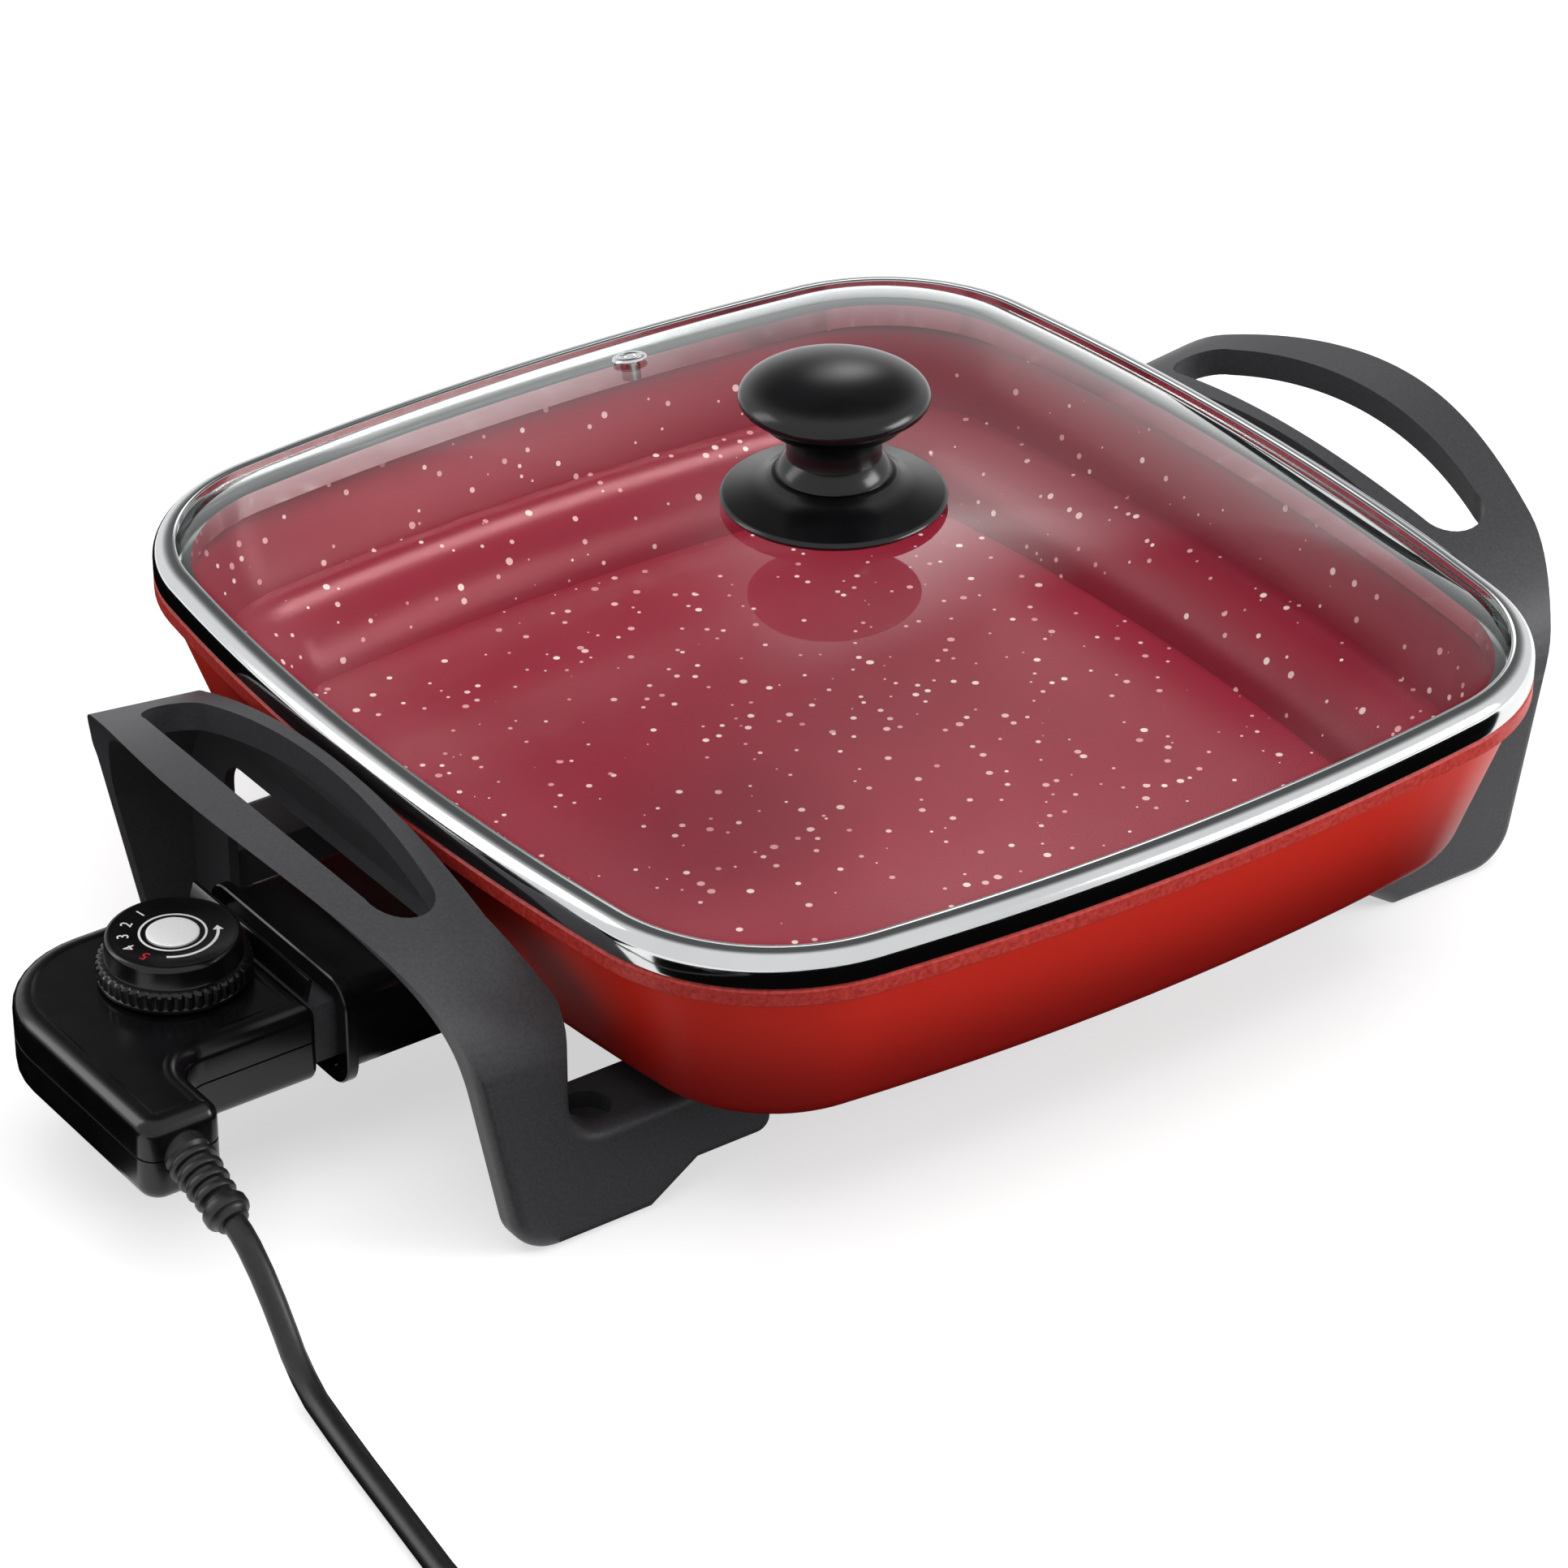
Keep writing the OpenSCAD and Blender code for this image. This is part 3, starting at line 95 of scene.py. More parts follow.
def outline(d, n=18, m=14):
    """The lip's outline drawn in by d: corner arcs and bowed sides in turn."""
    r, q, a, b = CORNER_R - d, SIDE_R - d, CORNER_START, CORNER_END
    cx, cy = CORNER
    points = arc(cx, cy, r, a, b, n) + arc(0, SIDE_CY, q, b, 180 - b, m)[1:-1]
    points += arc(-cx, cy, r, 180 - b, 180 - a, n) + arc(-SIDE_CX, 0, q, 180 - a, 180 + a, m)[1:-1]
    points += arc(-cx, -cy, r, 180 + a, 180 + b, n) + arc(0, -SIDE_CY, q, 180 + b, 360 - b, m)[1:-1]
    return points + arc(cx, -cy, r, 360 - b, 360 - a, n) + arc(SIDE_CX, 0, q, -a, a, m)[1:-1]


def swell(a0, n=10):
    """A rise that starts at an angle and swells over to level, one unit each way."""
    c, s = math.cos(math.radians(a0)), math.sin(math.radians(a0))
    turns = [math.radians(a0 + (90 - a0) * i / n) for i in range(n + 1)]
    return [((c - math.cos(a)) / c, (math.sin(a) - s) / (1 - s)) for a in turns]


class Form:
    """A mesh in the making, in millimetres from the pan's centre."""

    def __init__(self):
        self.points, self.faces, self.finish = [], [], []

    def skin(self, rings, finish=0, loop=False, caps=True):
        """Skins rings of the same count; finish is one number or one for each strip."""
        start, n, m = len(self.points), len(rings[0]), len(rings)
        self.points += [tuple(p) for ring in rings for p in ring]
        for k in range(m if loop else m - 1):
            a, b = start + k * n, start + (k + 1) % m * n
            strip = finish if isinstance(finish, int) else finish[k]
            for i in range(n):
                j = (i + 1) % n
                self.faces.append((a + i, a + j, b + j, b + i))
                self.finish.append(strip)
        if caps and not loop:
            ends = (finish, finish) if isinstance(finish, int) else (finish[0], finish[-1])
            last = start + (m - 1) * n
            self.faces += [tuple(start + i for i in reversed(range(n))), tuple(last + i for i in range(n))]
            self.finish += list(ends)
        return self

    def turned(self, profile, place=Matrix.Identity(4), n=72, finish=0):
        """Turns a profile of (radius, height) round an axis; place sets the axis."""
        rings = []
        for r, h in profile:
            q = max(r, POLE_R)
            ring = [(q * math.cos(2 * math.pi * i / n), q * math.sin(2 * math.pi * i / n), h) for i in range(n)]
            rings.append([tuple(place @ Vector(p)) for p in ring])
        return self.skin(rings, finish)

    def tube(self, path, radius, n=16, finish=0):
        """A round bar along a path."""
        rings = []
        for i, p in enumerate(path):
            t = (Vector(path[min(i + 1, len(path) - 1)]) - Vector(path[max(i - 1, 0)])).normalized()
            side = t.cross(Vector((0, 0, 1))).normalized()
            up = side.cross(t)
            rings.append([tuple(Vector(p) + radius * (math.cos(a) * side + math.sin(a) * up))
                          for a in (2 * math.pi * k / n for k in range(n))])
        return self.skin(rings, finish)

    def piece(self, name, body, materials, replaces=(), slot=None, crease=32):
        """Makes the object: normals outward, smooth but for creases, and ready to ride."""
        mesh = bpy.data.meshes.new(name)
        mesh.from_pydata([((x + PAN_X) * MM, y * MM, z * MM) for x, y, z in self.points], [], self.faces)
        mesh.polygons.foreach_set("material_index", self.finish)
        for m in materials:
            mesh.materials.append(m)
        outward(mesh, weld=True)
        made = linked(name, mesh)
        made.data.shade_smooth()
        made.data.set_sharp_from_angle(angle=math.radians(crease))
        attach(made, body)
        if replaces:
            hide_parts(*replaces)
        return made


def paint(code):
    """Linear colour of an sRGB hex code."""
    parts = [int(code[i:i + 2], 16) / 255 for i in (1, 3, 5)]
    return [c / 12.92 if c <= 0.04045 else ((c + 0.055) / 1.055) ** 2.4 for c in parts] + [1.0]


def add(tree, kind, links=None, **settings):
    """Adds a node with its settings, its links and the constants on its sockets."""
    node = tree.nodes.new(kind)
    for key, value in settings.items():
        setattr(node, key, value)
    for key, value in (links or {}).items():
        if isinstance(value, bpy.types.NodeSocket):
            tree.links.new(value, node.inputs[key])
        else:
            node.inputs[key].default_value = value
    return node


def surface(name, **constants):
    """A new material: its node tree and its shader with constants set."""
    made = bpy.data.materials.new(name)
    made.use_nodes = True
    shader = made.node_tree.nodes["Principled BSDF"]
    for key, value in constants.items():
        shader.inputs[key.replace("_", " ")].default_value = value
    place = add(made.node_tree, "ShaderNodeTexCoord").outputs["Object"]
    return made, made.node_tree, shader, place


def mottled(name, low, high, size_mm, depth_mm, **constants):
    """A whole finish: its colour wanders between two hex codes over a grain of that size and depth."""
    made, tree, shader, place = surface(name, **constants)
    noise = add(tree, "ShaderNodeTexNoise", {"Vector": place, "Scale": 1 / (size_mm * MM), "Detail": 3.0})
    share = add(tree, "ShaderNodeMapRange", {"Value": noise.outputs["Fac"], "From Min": 0.3, "From Max": 0.7})
    tone = add(tree, "ShaderNodeMix", {0: share.outputs["Result"], 6: paint(low), 7: paint(high)}, data_type="RGBA")
    bump = add(tree, "ShaderNodeBump", {"Height": noise.outputs["Fac"], "Strength": 1.0, "Distance": depth_mm * MM})
    tree.links.new(tone.outputs[2], shader.inputs["Base Color"])
    tree.links.new(bump.outputs["Normal"], shader.inputs["Normal"])
    return made


# Sprayed red enamel on die-cast aluminium with a faint orange peel; painted shade darkens its red low on the wall and
# painted light brightens it toward the lip, as light falls from above
PAINTED_SHADE_Z, PAINTED_LIGHT_Z, PEEL, PEEL_DEPTH = 40.0, 88.0, 2.5, 0.012
enamel, tree, shader, place = surface("red_enamel_with_painted_shade", Roughness=0.38, Specular_IOR_Level=0.12)
height = add(tree, "ShaderNodeSeparateXYZ", {"Vector": place}).outputs["Z"]
# painted shade: the red runs from bright at the lip to deep low on the wall, as light from above would leave it
level = add(tree, "ShaderNodeMapRange", {"Value": height, "From Min": PAINTED_SHADE_Z * MM, "From Max": PAINTED_LIGHT_Z * MM},
            interpolation_type="SMOOTHSTEP")
tone = add(tree, "ShaderNodeMix", {0: level.outputs["Result"], 6: paint("#7c0d0a"), 7: paint("#cc281b")},
           data_type="RGBA")
peel = add(tree, "ShaderNodeTexNoise", {"Vector": place, "Scale": 1 / (PEEL * MM)})
bump = add(tree, "ShaderNodeBump", {"Height": peel.outputs["Fac"], "Strength": 1.0, "Distance": PEEL_DEPTH * MM})
tree.links.new(tone.outputs[2], shader.inputs["Base Color"])
tree.links.new(bump.outputs["Normal"], shader.inputs["Normal"])

# Fired edge of the casting under the lid's rim: the enamel is thin and a little rough there, so it looks paler
fired_edge = mottled("fired_casting_edge", "#9b1c19", "#bd3a31", 1.2, 0.06, Roughness=0.42, Specular_IOR_Level=0.35)

# Ceramic-filled non-stick coating: wine red with a satin gloss and pale stone flecks of 1 to 2 mm
FLECK_CELL, FLECK_FROM, FLECK_MOST, CLOUD = 4.4, 0.2, 0.26, 60.0
coating, tree, shader, place = surface("speckled_nonstick_coating", Roughness=0.27, Specular_IOR_Level=0.5,
                                       Specular_Tint=paint("#f2a9b0"))
cells = add(tree, "ShaderNodeTexVoronoi", {"Vector": place, "Scale": 1 / (FLECK_CELL * MM), "Randomness": 1.0})
chance = add(tree, "ShaderNodeSeparateColor", {"Color": cells.outputs["Color"]})
radius = add(tree, "ShaderNodeMapRange", {"Value": chance.outputs["Red"], "From Min": FLECK_FROM, "From Max": 1.0,
                                          "To Min": 0.0, "To Max": FLECK_MOST})
fleck = add(tree, "ShaderNodeMath", {0: cells.outputs["Distance"], 1: radius.outputs["Result"]},
            operation="LESS_THAN")
cloud = add(tree, "ShaderNodeTexNoise", {"Vector": place, "Scale": 1 / (CLOUD * MM), "Detail": 3.0})
wine = add(tree, "ShaderNodeMix", {0: cloud.outputs["Fac"], 6: paint("#84172b"), 7: paint("#98243a")},
           data_type="RGBA")
stone = add(tree, "ShaderNodeMix", {0: chance.outputs["Green"], 6: paint("#d98f96"), 7: paint("#fbe6e2")},
            data_type="RGBA")
speckled = add(tree, "ShaderNodeMix", {0: fleck.outputs[0], 6: wine.outputs[2], 7: stone.outputs[2]},
               data_type="RGBA")
tree.links.new(speckled.outputs[2], shader.inputs["Base Color"])

# Tempered soda-lime glass: clear, and a mirror on its outer face, stronger where it turns away
GLASS_IOR, SHINE_FALL, SHINE_GAIN = 1.52, 1.5, 2.2
glass = bpy.data.materials.new("tempered_glass")
glass.use_nodes = True
tree = glass.node_tree
tree.nodes.remove(tree.nodes["Principled BSDF"])
clear = add(tree, "ShaderNodeBsdfTransparent", {"Color": paint("#f7f9f8")})
mirror = add(tree, "ShaderNodeBsdfGlossy", {"Color": paint("#f4f6f6"), "Roughness": 0.03})
facing = add(tree, "ShaderNodeNewGeometry")
outer = add(tree, "ShaderNodeMath", {0: 1.0, 1: facing.outputs["Backfacing"]}, operation="SUBTRACT")
turned_away = add(tree, "ShaderNodeFresnel", {"IOR": GLASS_IOR})
falling = add(tree, "ShaderNodeMath", {0: turned_away.outputs["Fac"], 1: SHINE_FALL}, operation="POWER")
gained = add(tree, "ShaderNodeMath", {0: falling.outputs[0], 1: SHINE_GAIN}, operation="MULTIPLY", use_clamp=True)
shine = add(tree, "ShaderNodeMath", {0: gained.outputs[0], 1: outer.outputs[0]}, operation="MULTIPLY")
glazing = add(tree, "ShaderNodeMixShader", {0: shine.outputs[0], 1: clear.outputs[0], 2: mirror.outputs[0]})
tree.links.new(glazing.outputs[0], tree.nodes["Material Output"].inputs["Surface"])

# Rolled stainless steel band, polished along its length
band_steel = mottled("polished_stainless_steel", "#cfd0d1", "#dadbdb", 40.0, 0.0, Metallic=1.0, Roughness=0.1)

# Phenolic moulding of the handle brackets: dark grey, satin, with the fine grain of a sparked mould
phenolic = mottled("moulded_phenolic", "#353537", "#3f3f42", 0.9, 0.02, Roughness=0.44, Specular_IOR_Level=0.32)

# Polished black plastic of the control, guard, dial and knob
gloss_black = mottled("polished_black_plastic", "#060607", "#0d0d0f", 9.0, 0.008, Roughness=0.22,
                      Specular_IOR_Level=0.4)

# Flexible PVC of the cord, strain relief and plug: black with a dull sheen and faint extrusion grain
pvc = mottled("flexible_black_pvc", "#0d0d0e", "#18181a", 1.4, 0.03, Roughness=0.42)

# Zinc-plated and ground steel of pins, screws and the thermostat's frame
plated_steel = mottled("zinc_plated_steel", "#9a9b9c", "#b9babb", 1.0, 0.008, Metallic=1.0, Roughness=0.32)

# Heat-dulled sheath of the element
sheath = mottled("heat_dulled_sheath", "#5d5650", "#7b746c", 2.0, 0.02, Metallic=1.0, Roughness=0.5)

# Rolled brass strip of contacts, sockets and plug blades
brass = mottled("rolled_brass", "#b08d46", "#cfae62", 1.5, 0.006, Metallic=1.0, Roughness=0.28)

# Fired steatite of the insulators: ivory and matt
steatite = mottled("fired_steatite", "#d8d0bd", "#e9e2d2", 0.8, 0.02, Roughness=0.6)

# Soft silicone of the knob's gasket
silicone = mottled("moulded_silicone", "#161616", "#202021", 1.0, 0.02, Roughness=0.65)

# Satin-spun aluminium insert of the dial
spun_aluminium = mottled("spun_aluminium", "#f2f2f2", "#fafafa", 0.5, 0.004, Metallic=0.1, Roughness=0.4)

# Printed marks on the dial: white and red pad-print ink
white_ink = mottled("white_print_ink", "#d9d9d6", "#eeeeec", 0.4, 0.004, Roughness=0.5)
red_ink = mottled("red_print_ink", "#b01822", "#cc2430", 0.4, 0.004, Roughness=0.5)


# Camera at the photograph's angle, pale floor and soft light

CAMERA_AT, LENS, SENSOR = (-811.8, -1116.4, 873.2), 134.5, 36.0
CAMERA_AXES = Matrix(((0.8144, -0.5803, 0.0), (0.3007, 0.4220, 0.8553), (-0.4963, -0.6966, 0.5182)))
view = linked("camera", bpy.data.cameras.new("camera"))
view.data.lens, view.data.sensor_width = LENS, SENSOR
view.data.clip_start, view.data.clip_end = 0.05, 60.0
stand_at = Vector((PAN_X + CAMERA_AT[0], CAMERA_AT[1], CAMERA_AT[2])) * MM
view.matrix_world = Matrix.Translation(stand_at) @ CAMERA_AXES.transposed().to_4x4()
bpy.context.scene.camera = view
bpy.context.scene.view_settings.view_transform = "Standard"

FLOOR_HALF, FLOOR_GLOW, FLAG_Z, GLOW_HALF, GLOW_POWER = 8.0, 0.58, 0.001, 0.3, 5.0
GLOW_AT = (0.68, 0.79, 0.75)
DRAPE_TOWARD, DRAPE_FROM, DRAPE_FULL, DRAPE_DARK = (0.374, 0.523, 0.766), 0.7, 0.95, 0.12
AMBIENT = 0.3
SQUARE = [(-1, -1), (1, -1), (1, 1), (-1, 1)]


def sheet(name, points, faces, material):
    """A flat piece of the studio, in metres."""
    mesh = bpy.data.meshes.new(name)
    mesh.from_pydata(points, [], faces)
    mesh.materials.append(material)
    return linked(name, mesh)


# Pale studio paper, lit through from behind: it shows white to the camera, in metal and through glass
paper, tree, shader, _ = surface("white_studio_paper", Roughness=0.9)
shader.inputs["Base Color"].default_value = paint("#c8c8c8")
shader.inputs["Emission Color"].default_value = paint("#ffffff")
ray = add(tree, "ShaderNodeLightPath")
direct = add(tree, "ShaderNodeMath", {0: ray.outputs["Is Camera Ray"], 1: ray.outputs["Is Glossy Ray"]},
             operation="ADD")
seen = add(tree, "ShaderNodeMath", {0: direct.outputs[0], 1: ray.outputs["Is Transmission Ray"]},
           operation="ADD", use_clamp=True)
shown = add(tree, "ShaderNodeMath", {0: seen.outputs[0], 1: FLOOR_GLOW}, operation="MULTIPLY")
tree.links.new(shown.outputs[0], shader.inputs["Emission Strength"])
studio_floor = sheet("studio_floor", [(x * FLOOR_HALF, y * FLOOR_HALF, 0) for x, y in SQUARE], [(0, 1, 2, 3)], paper)

sky = bpy.data.worlds.new("studio")
bpy.context.scene.world = sky
sky.use_nodes = True
tree = sky.node_tree
tree.nodes["Background"].inputs["Color"].default_value = paint("#f8f9fa")
# White to the camera and through glass; polished surfaces see it white with a soft dark drape high at the back
ray = add(tree, "ShaderNodeLightPath")
toward = add(tree, "ShaderNodeTexCoord")
drape = add(tree, "ShaderNodeVectorMath", {0: toward.outputs["Generated"], 1: DRAPE_TOWARD}, operation="DOT_PRODUCT")
mirrored = add(tree, "ShaderNodeMapRange", {"Value": drape.outputs["Value"], "From Min": DRAPE_FROM,
                                            "From Max": DRAPE_FULL, "To Min": 1.0, "To Max": DRAPE_DARK},
               interpolation_type="SMOOTHSTEP")
unseen = add(tree, "ShaderNodeMix", {0: ray.outputs["Is Glossy Ray"], 2: AMBIENT, 3: mirrored.outputs["Result"]})
seen = add(tree, "ShaderNodeMath", {0: ray.outputs["Is Camera Ray"], 1: ray.outputs["Is Transmission Ray"]},
           operation="ADD", use_clamp=True)
strength = add(tree, "ShaderNodeMix", {0: seen.outputs[0], 2: unseen.outputs[0], 3: 1.0})
tree.links.new(strength.outputs[0], tree.nodes["Background"].inputs["Strength"])

# Black flags on the floor in front and at the left, seen only in polished surfaces, keep the rim and the mouldings dark
flag_plan = [(-0.43, -1.2), (0.77, -1.2), (0.77, -0.5), (0.12, -0.1), (-0.43, -0.1), (-0.13, -0.1), (-0.13, -0.01),
             (0.02, -0.01), (0.02, -0.1), (-0.7, -0.01), (0.02, 0.6), (-0.7, 0.6)]
flag_faces = [(0, 1, 2, 3, 4), (5, 8, 7, 6), (9, 7, 10, 11)]
flag_cloth = mottled("black_flag_cloth", "#050505", "#0a0a0a", 3.0, 0.01, Roughness=0.9, Specular_IOR_Level=0.0)
black_flag = sheet("black_flag", [(x, y, FLAG_Z) for x, y in flag_plan], flag_faces, flag_cloth)
black_flag.visible_camera = black_flag.visible_diffuse = False
black_flag.visible_shadow = black_flag.visible_transmission = False

# A small round glowing sheet at the back, no lamp and seen only in polished surfaces, lays a painted reflected glow on
# the glass beside the knob
painted_glow_silk, tree, shader, place = surface("painted_glow_silk")
tree.nodes.remove(shader)
spread = add(tree, "ShaderNodeVectorMath", {0: place, "Scale": 1 / GLOW_HALF}, operation="SCALE")
fade = add(tree, "ShaderNodeTexGradient", {"Vector": spread.outputs["Vector"]}, gradient_type="QUADRATIC_SPHERE")
power = add(tree, "ShaderNodeMath", {0: fade.outputs["Fac"], 1: GLOW_POWER}, operation="MULTIPLY")
# painted glow: emission that fades from the sheet's middle and lights nothing, seen only as a reflection
glow = add(tree, "ShaderNodeEmission", {"Strength": power.outputs[0]})
through = add(tree, "ShaderNodeBsdfTransparent")
silk = add(tree, "ShaderNodeAddShader", {0: glow.outputs[0], 1: through.outputs[0]})
tree.links.new(silk.outputs[0], tree.nodes["Material Output"].inputs["Surface"])
painted_glow_sheet = sheet("painted_glow_sheet", [(x * GLOW_HALF, 0, z * GLOW_HALF) for x, z in SQUARE], [(0, 1, 2, 3)],
                       painted_glow_silk)
painted_glow_sheet.matrix_world = Matrix.Translation(GLOW_AT)
painted_glow_sheet.visible_camera = painted_glow_sheet.visible_diffuse = painted_glow_sheet.visible_shadow = False


def softbox(name, at, aim, size, power):
    """A rectangular soft lamp at a place, aimed at a place, in metres and watts."""
    lamp = bpy.data.lights.new(name, "AREA")
    lamp.shape, lamp.size, lamp.size_y, lamp.energy = "RECTANGLE", size[0], size[1], power
    stand = linked(name, lamp)
    turn = (Vector(aim) - Vector(at)).to_track_quat("-Z", "Y")
    stand.matrix_world = Matrix.Translation(at) @ turn.to_matrix().to_4x4()
    return stand


softbox("overhead_softbox", (-0.1, -0.45, 1.9), (0, 0, 0.05), (2.6, 1.8), 36).visible_glossy = False
left_strip = softbox("left_strip", (-1.05, 1.0, 0.75), (-0.1, 0, 0.06), (0.5, 1.2), 6)
softbox("right_key", (1.6, -1.5, 0.8), (0, 0, 0.06), (1.2, 0.9), 31)


# The cord: the route of the lead, the tied coil and the tail, as one smooth line

CORD_D, COIL_TURNS, COIL_R, COIL_GAP, TIE_T = 6.5, 4.25, 29.0, 0.6, 1.25
COIL_AT, COIL_STEPS, COIL_CLIMB = (-297.0, -240.0), 48, 0.5
COIL_PITCH, COIL_Z = CORD_D + COIL_GAP, TIE_T + CORD_D / 2
RELIEF_DROOP, RELIEF_L, CORD_X, FACE_Y, CORD_Z = math.radians(20), 24.0, 239.0, 57.0, 42.0


def along_relief(run):
    """The place that far along the strain relief, from the control's face."""
    return (-CORD_X, -FACE_Y - run * math.cos(RELIEF_DROOP), CORD_Z - run * math.sin(RELIEF_DROOP))


def coil_point(t):
    """The place after t turns: inward on the table, then up and outward on top."""
    r, a = COIL_R + COIL_PITCH * abs(t - COIL_TURNS / 2), 2 * math.pi * t
    climb = min(max((t - COIL_TURNS / 2 + COIL_CLIMB / 2) / COIL_CLIMB, 0), 1)
    return (COIL_AT[0] + r * math.cos(a), COIL_AT[1] - r * math.sin(a), COIL_Z + COIL_PITCH * climb)


on_table = CORD_D / 2
lead = [along_relief(RELIEF_L - 1), along_relief(RELIEF_L + 3.2), (-239, -86.2, 30.5), (-239, -91.9, 25.6),
        (-239, -97, 20), (-239.3, -102.3, 14.4), (-239.8, -106.5, 10.6), (-240.3, -112, 7), (-241, -118.5, 4.4),
        (-242.3, -130, on_table), (-244.5, -145, on_table), (-246.5, -160, on_table), (-248.5, -175, on_table),
        (-250.5, -190, on_table), (-252, -205, on_table + 0.2), (-252.8, -220, COIL_Z - 0.4)]
coil = [coil_point(i / COIL_STEPS) for i in range(int(COIL_TURNS * COIL_STEPS) + 1)]
tail = [(-312, -283, 11), (-328, -277.5, 8.5), (-341, -268, 6.5), (-348.5, -256, 7), (-350.8, -249, 8),
        (-351, -243, 8)]
route = [((x + PAN_X) * MM, y * MM, z * MM) for x, y, z in lead + coil + tail]
line = bpy.data.curves.new("mains_cord", "CURVE")
line.dimensions, line.use_fill_caps = "3D", True
line.bevel_depth, line.bevel_resolution = CORD_D / 2 * MM, 4
spline = line.splines.new("POLY")
spline.points.add(len(route) - 1)
spline.points.foreach_set("co", [c for p in route for c in (*p, 1.0)])
spline.use_smooth = True
line.materials.append(pvc)
mains_cord = linked("mains_cord", line)
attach(mains_cord, "control")
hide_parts("cord_lead", "cord_coil", "cord_tail")


# The pan

def outline_rings(section, n=18, m=14):
    """The lip's outline at each (distance outward, height) of a section."""
    return [[(x, y, z) for x, y in outline(-d, n, m)] for d, z in section]


PAN_BOTTOM, FLOOR_Z, BOTTOM_R, WALL_LEAN, GUARD_Z = 39.3, 46.8, 12.0, math.radians(19.5), (26.0, 28.2)
LIP_BAND, LIP_W, LIP_STEP, CREASE, LEDGE_W = 5.0, 7.0, 3.0, (-18.0, LIP_Z - 25.0), 22.0
RIDGE_Z, RIDGE_R, LOOP_X, LOOP_Y, LOOP_R = 35.8, 7.25, 38.0, 52.0, 40.0
TAIL_X, TAIL_Y, TAIL_BEND_X, TAIL_BEND_R = -122.0, 14.0, -90.0, 12.0
PROBE_BOSS_Z, PROBE_BOSS_X, GUARD_BOSS_X, GUARD_BOSS_Y = 34.65, -86.0, -106.0, 36.0
wall_top = (-LIP_STEP, LIP_Z - LIP_BAND - 1)
wall_run = (wall_top[1] - PAN_BOTTOM - BOTTOM_R * (1 - math.sin(WALL_LEAN))) / math.cos(WALL_LEAN)
round_x = wall_top[0] - wall_run * math.sin(WALL_LEAN) - BOTTOM_R * math.cos(WALL_LEAN)
outside = arc(round_x, PAN_BOTTOM + BOTTOM_R, BOTTOM_R, -90, -math.degrees(WALL_LEAN), 10)
outside += [(wall_top[0] - 0.6, wall_top[1] - 1.5), wall_top]
lip = [(-0.6, LIP_Z - LIP_BAND), (0.0, LIP_Z - LIP_BAND + 0.6), (0.0, LIP_Z - 0.7), (-0.7, LIP_Z)]
inside = [(-LIP_W + 0.8, LIP_Z), (-LIP_W - 0.4, LIP_Z - 1.0), (CREASE[0] + 0.5, CREASE[1] + 1.4)]
inside += [(CREASE[0] - LEDGE_W * (1 - u), FLOOR_Z + (CREASE[1] - FLOOR_Z) * v) for u, v in reversed(swell(25, 14))]
finishes = [0] * len(outside) + [1] * (len(lip) - 1) + [2] * len(inside)
casting = Form().skin(outline_rings(outside + lip + inside), finishes)
# Under the bottom: the ridge over the looped element, the probe's boss and the bosses of the guard's screws
bend_y = TAIL_Y + TAIL_BEND_R
ridge = [(TAIL_X, -TAIL_Y), (TAIL_BEND_X, -TAIL_Y)] + arc(TAIL_BEND_X, -bend_y, TAIL_BEND_R, 90, 0, 8)
for sx, sy, start in [(-1, -1, 180), (1, -1, 270), (1, 1, 0), (-1, 1, 90)]:
    ridge += arc(sx * LOOP_X, sy * LOOP_Y, LOOP_R, start, start + 90, 14)
ridge += arc(TAIL_BEND_X, bend_y, TAIL_BEND_R, 0, -90, 8) + [(TAIL_X, TAIL_Y)]
casting.tube([(x, y, RIDGE_Z) for x, y in ridge], RIDGE_R, 20)
casting.skin([[(x, y, PROBE_BOSS_Z + z) for y, z in round_rect(8, 5.8, 2)] for x in (TAIL_X, PROBE_BOSS_X)])
for side in (-1, 1):
    casting.turned([(5, GUARD_Z[1]), (5, 41)], Matrix.Translation((GUARD_BOSS_X, GUARD_BOSS_Y * side, 0)), 32)
cast_pan = casting.piece("cast_pan", "skillet", [enamel, fired_edge, coating], ["pan"], "pan_enamel", 40)


# The lid

RIM_H, RIM_W, RIM_ROUND, GLASS_Z, GLASS_T, DOME_H = 9.5, 6.5, 5.0, 3.3, 4.0, 34.0
GLASS_TOP, GLASS_EDGE, GLASS_PLAY, GLASS_SEAT = GLASS_Z + GLASS_T, 7.05, 0.05, 2.0
DOME_RISE = DOME_H - GLASS_TOP
FINE = (24, 20)  # steps of the lid's corners and sides
band = [(-9.3, 0.0), (-1.0, 0.0), (-0.3, 0.25), (0.0, 0.9)]
band += arc(-RIM_ROUND, RIM_H - RIM_ROUND, RIM_ROUND, 0, 90, 10)
band += [(-RIM_W + 0.4, RIM_H), (-RIM_W, RIM_H - 0.3), (-RIM_W, GLASS_TOP + GLASS_PLAY),
         (-GLASS_SEAT, GLASS_TOP + GLASS_PLAY), (-GLASS_SEAT, GLASS_Z - GLASS_PLAY), (-10.5, GLASS_Z - GLASS_PLAY),
         (-10.5, -3.5), (-9.3, -3.5)]
Form().skin(outline_rings([(d, LIP_Z + z) for d, z in band], *FINE), loop=True).piece(
    "lid_rim_band", "lid", [band_steel], ["lid_rim"], "polished_steel", 38)


def dome(k):
    """The dome's rise above its edge, at a share k of the way from the middle to the edge."""
    return DOME_RISE * (0.6 * (1 - k ** 6) + 0.4 * (1 - k ** 2))


def dome_slope(k):
    """How fast the dome falls there, for each unit of k."""
    return DOME_RISE * (3.6 * k ** 5 + 0.8 * k)


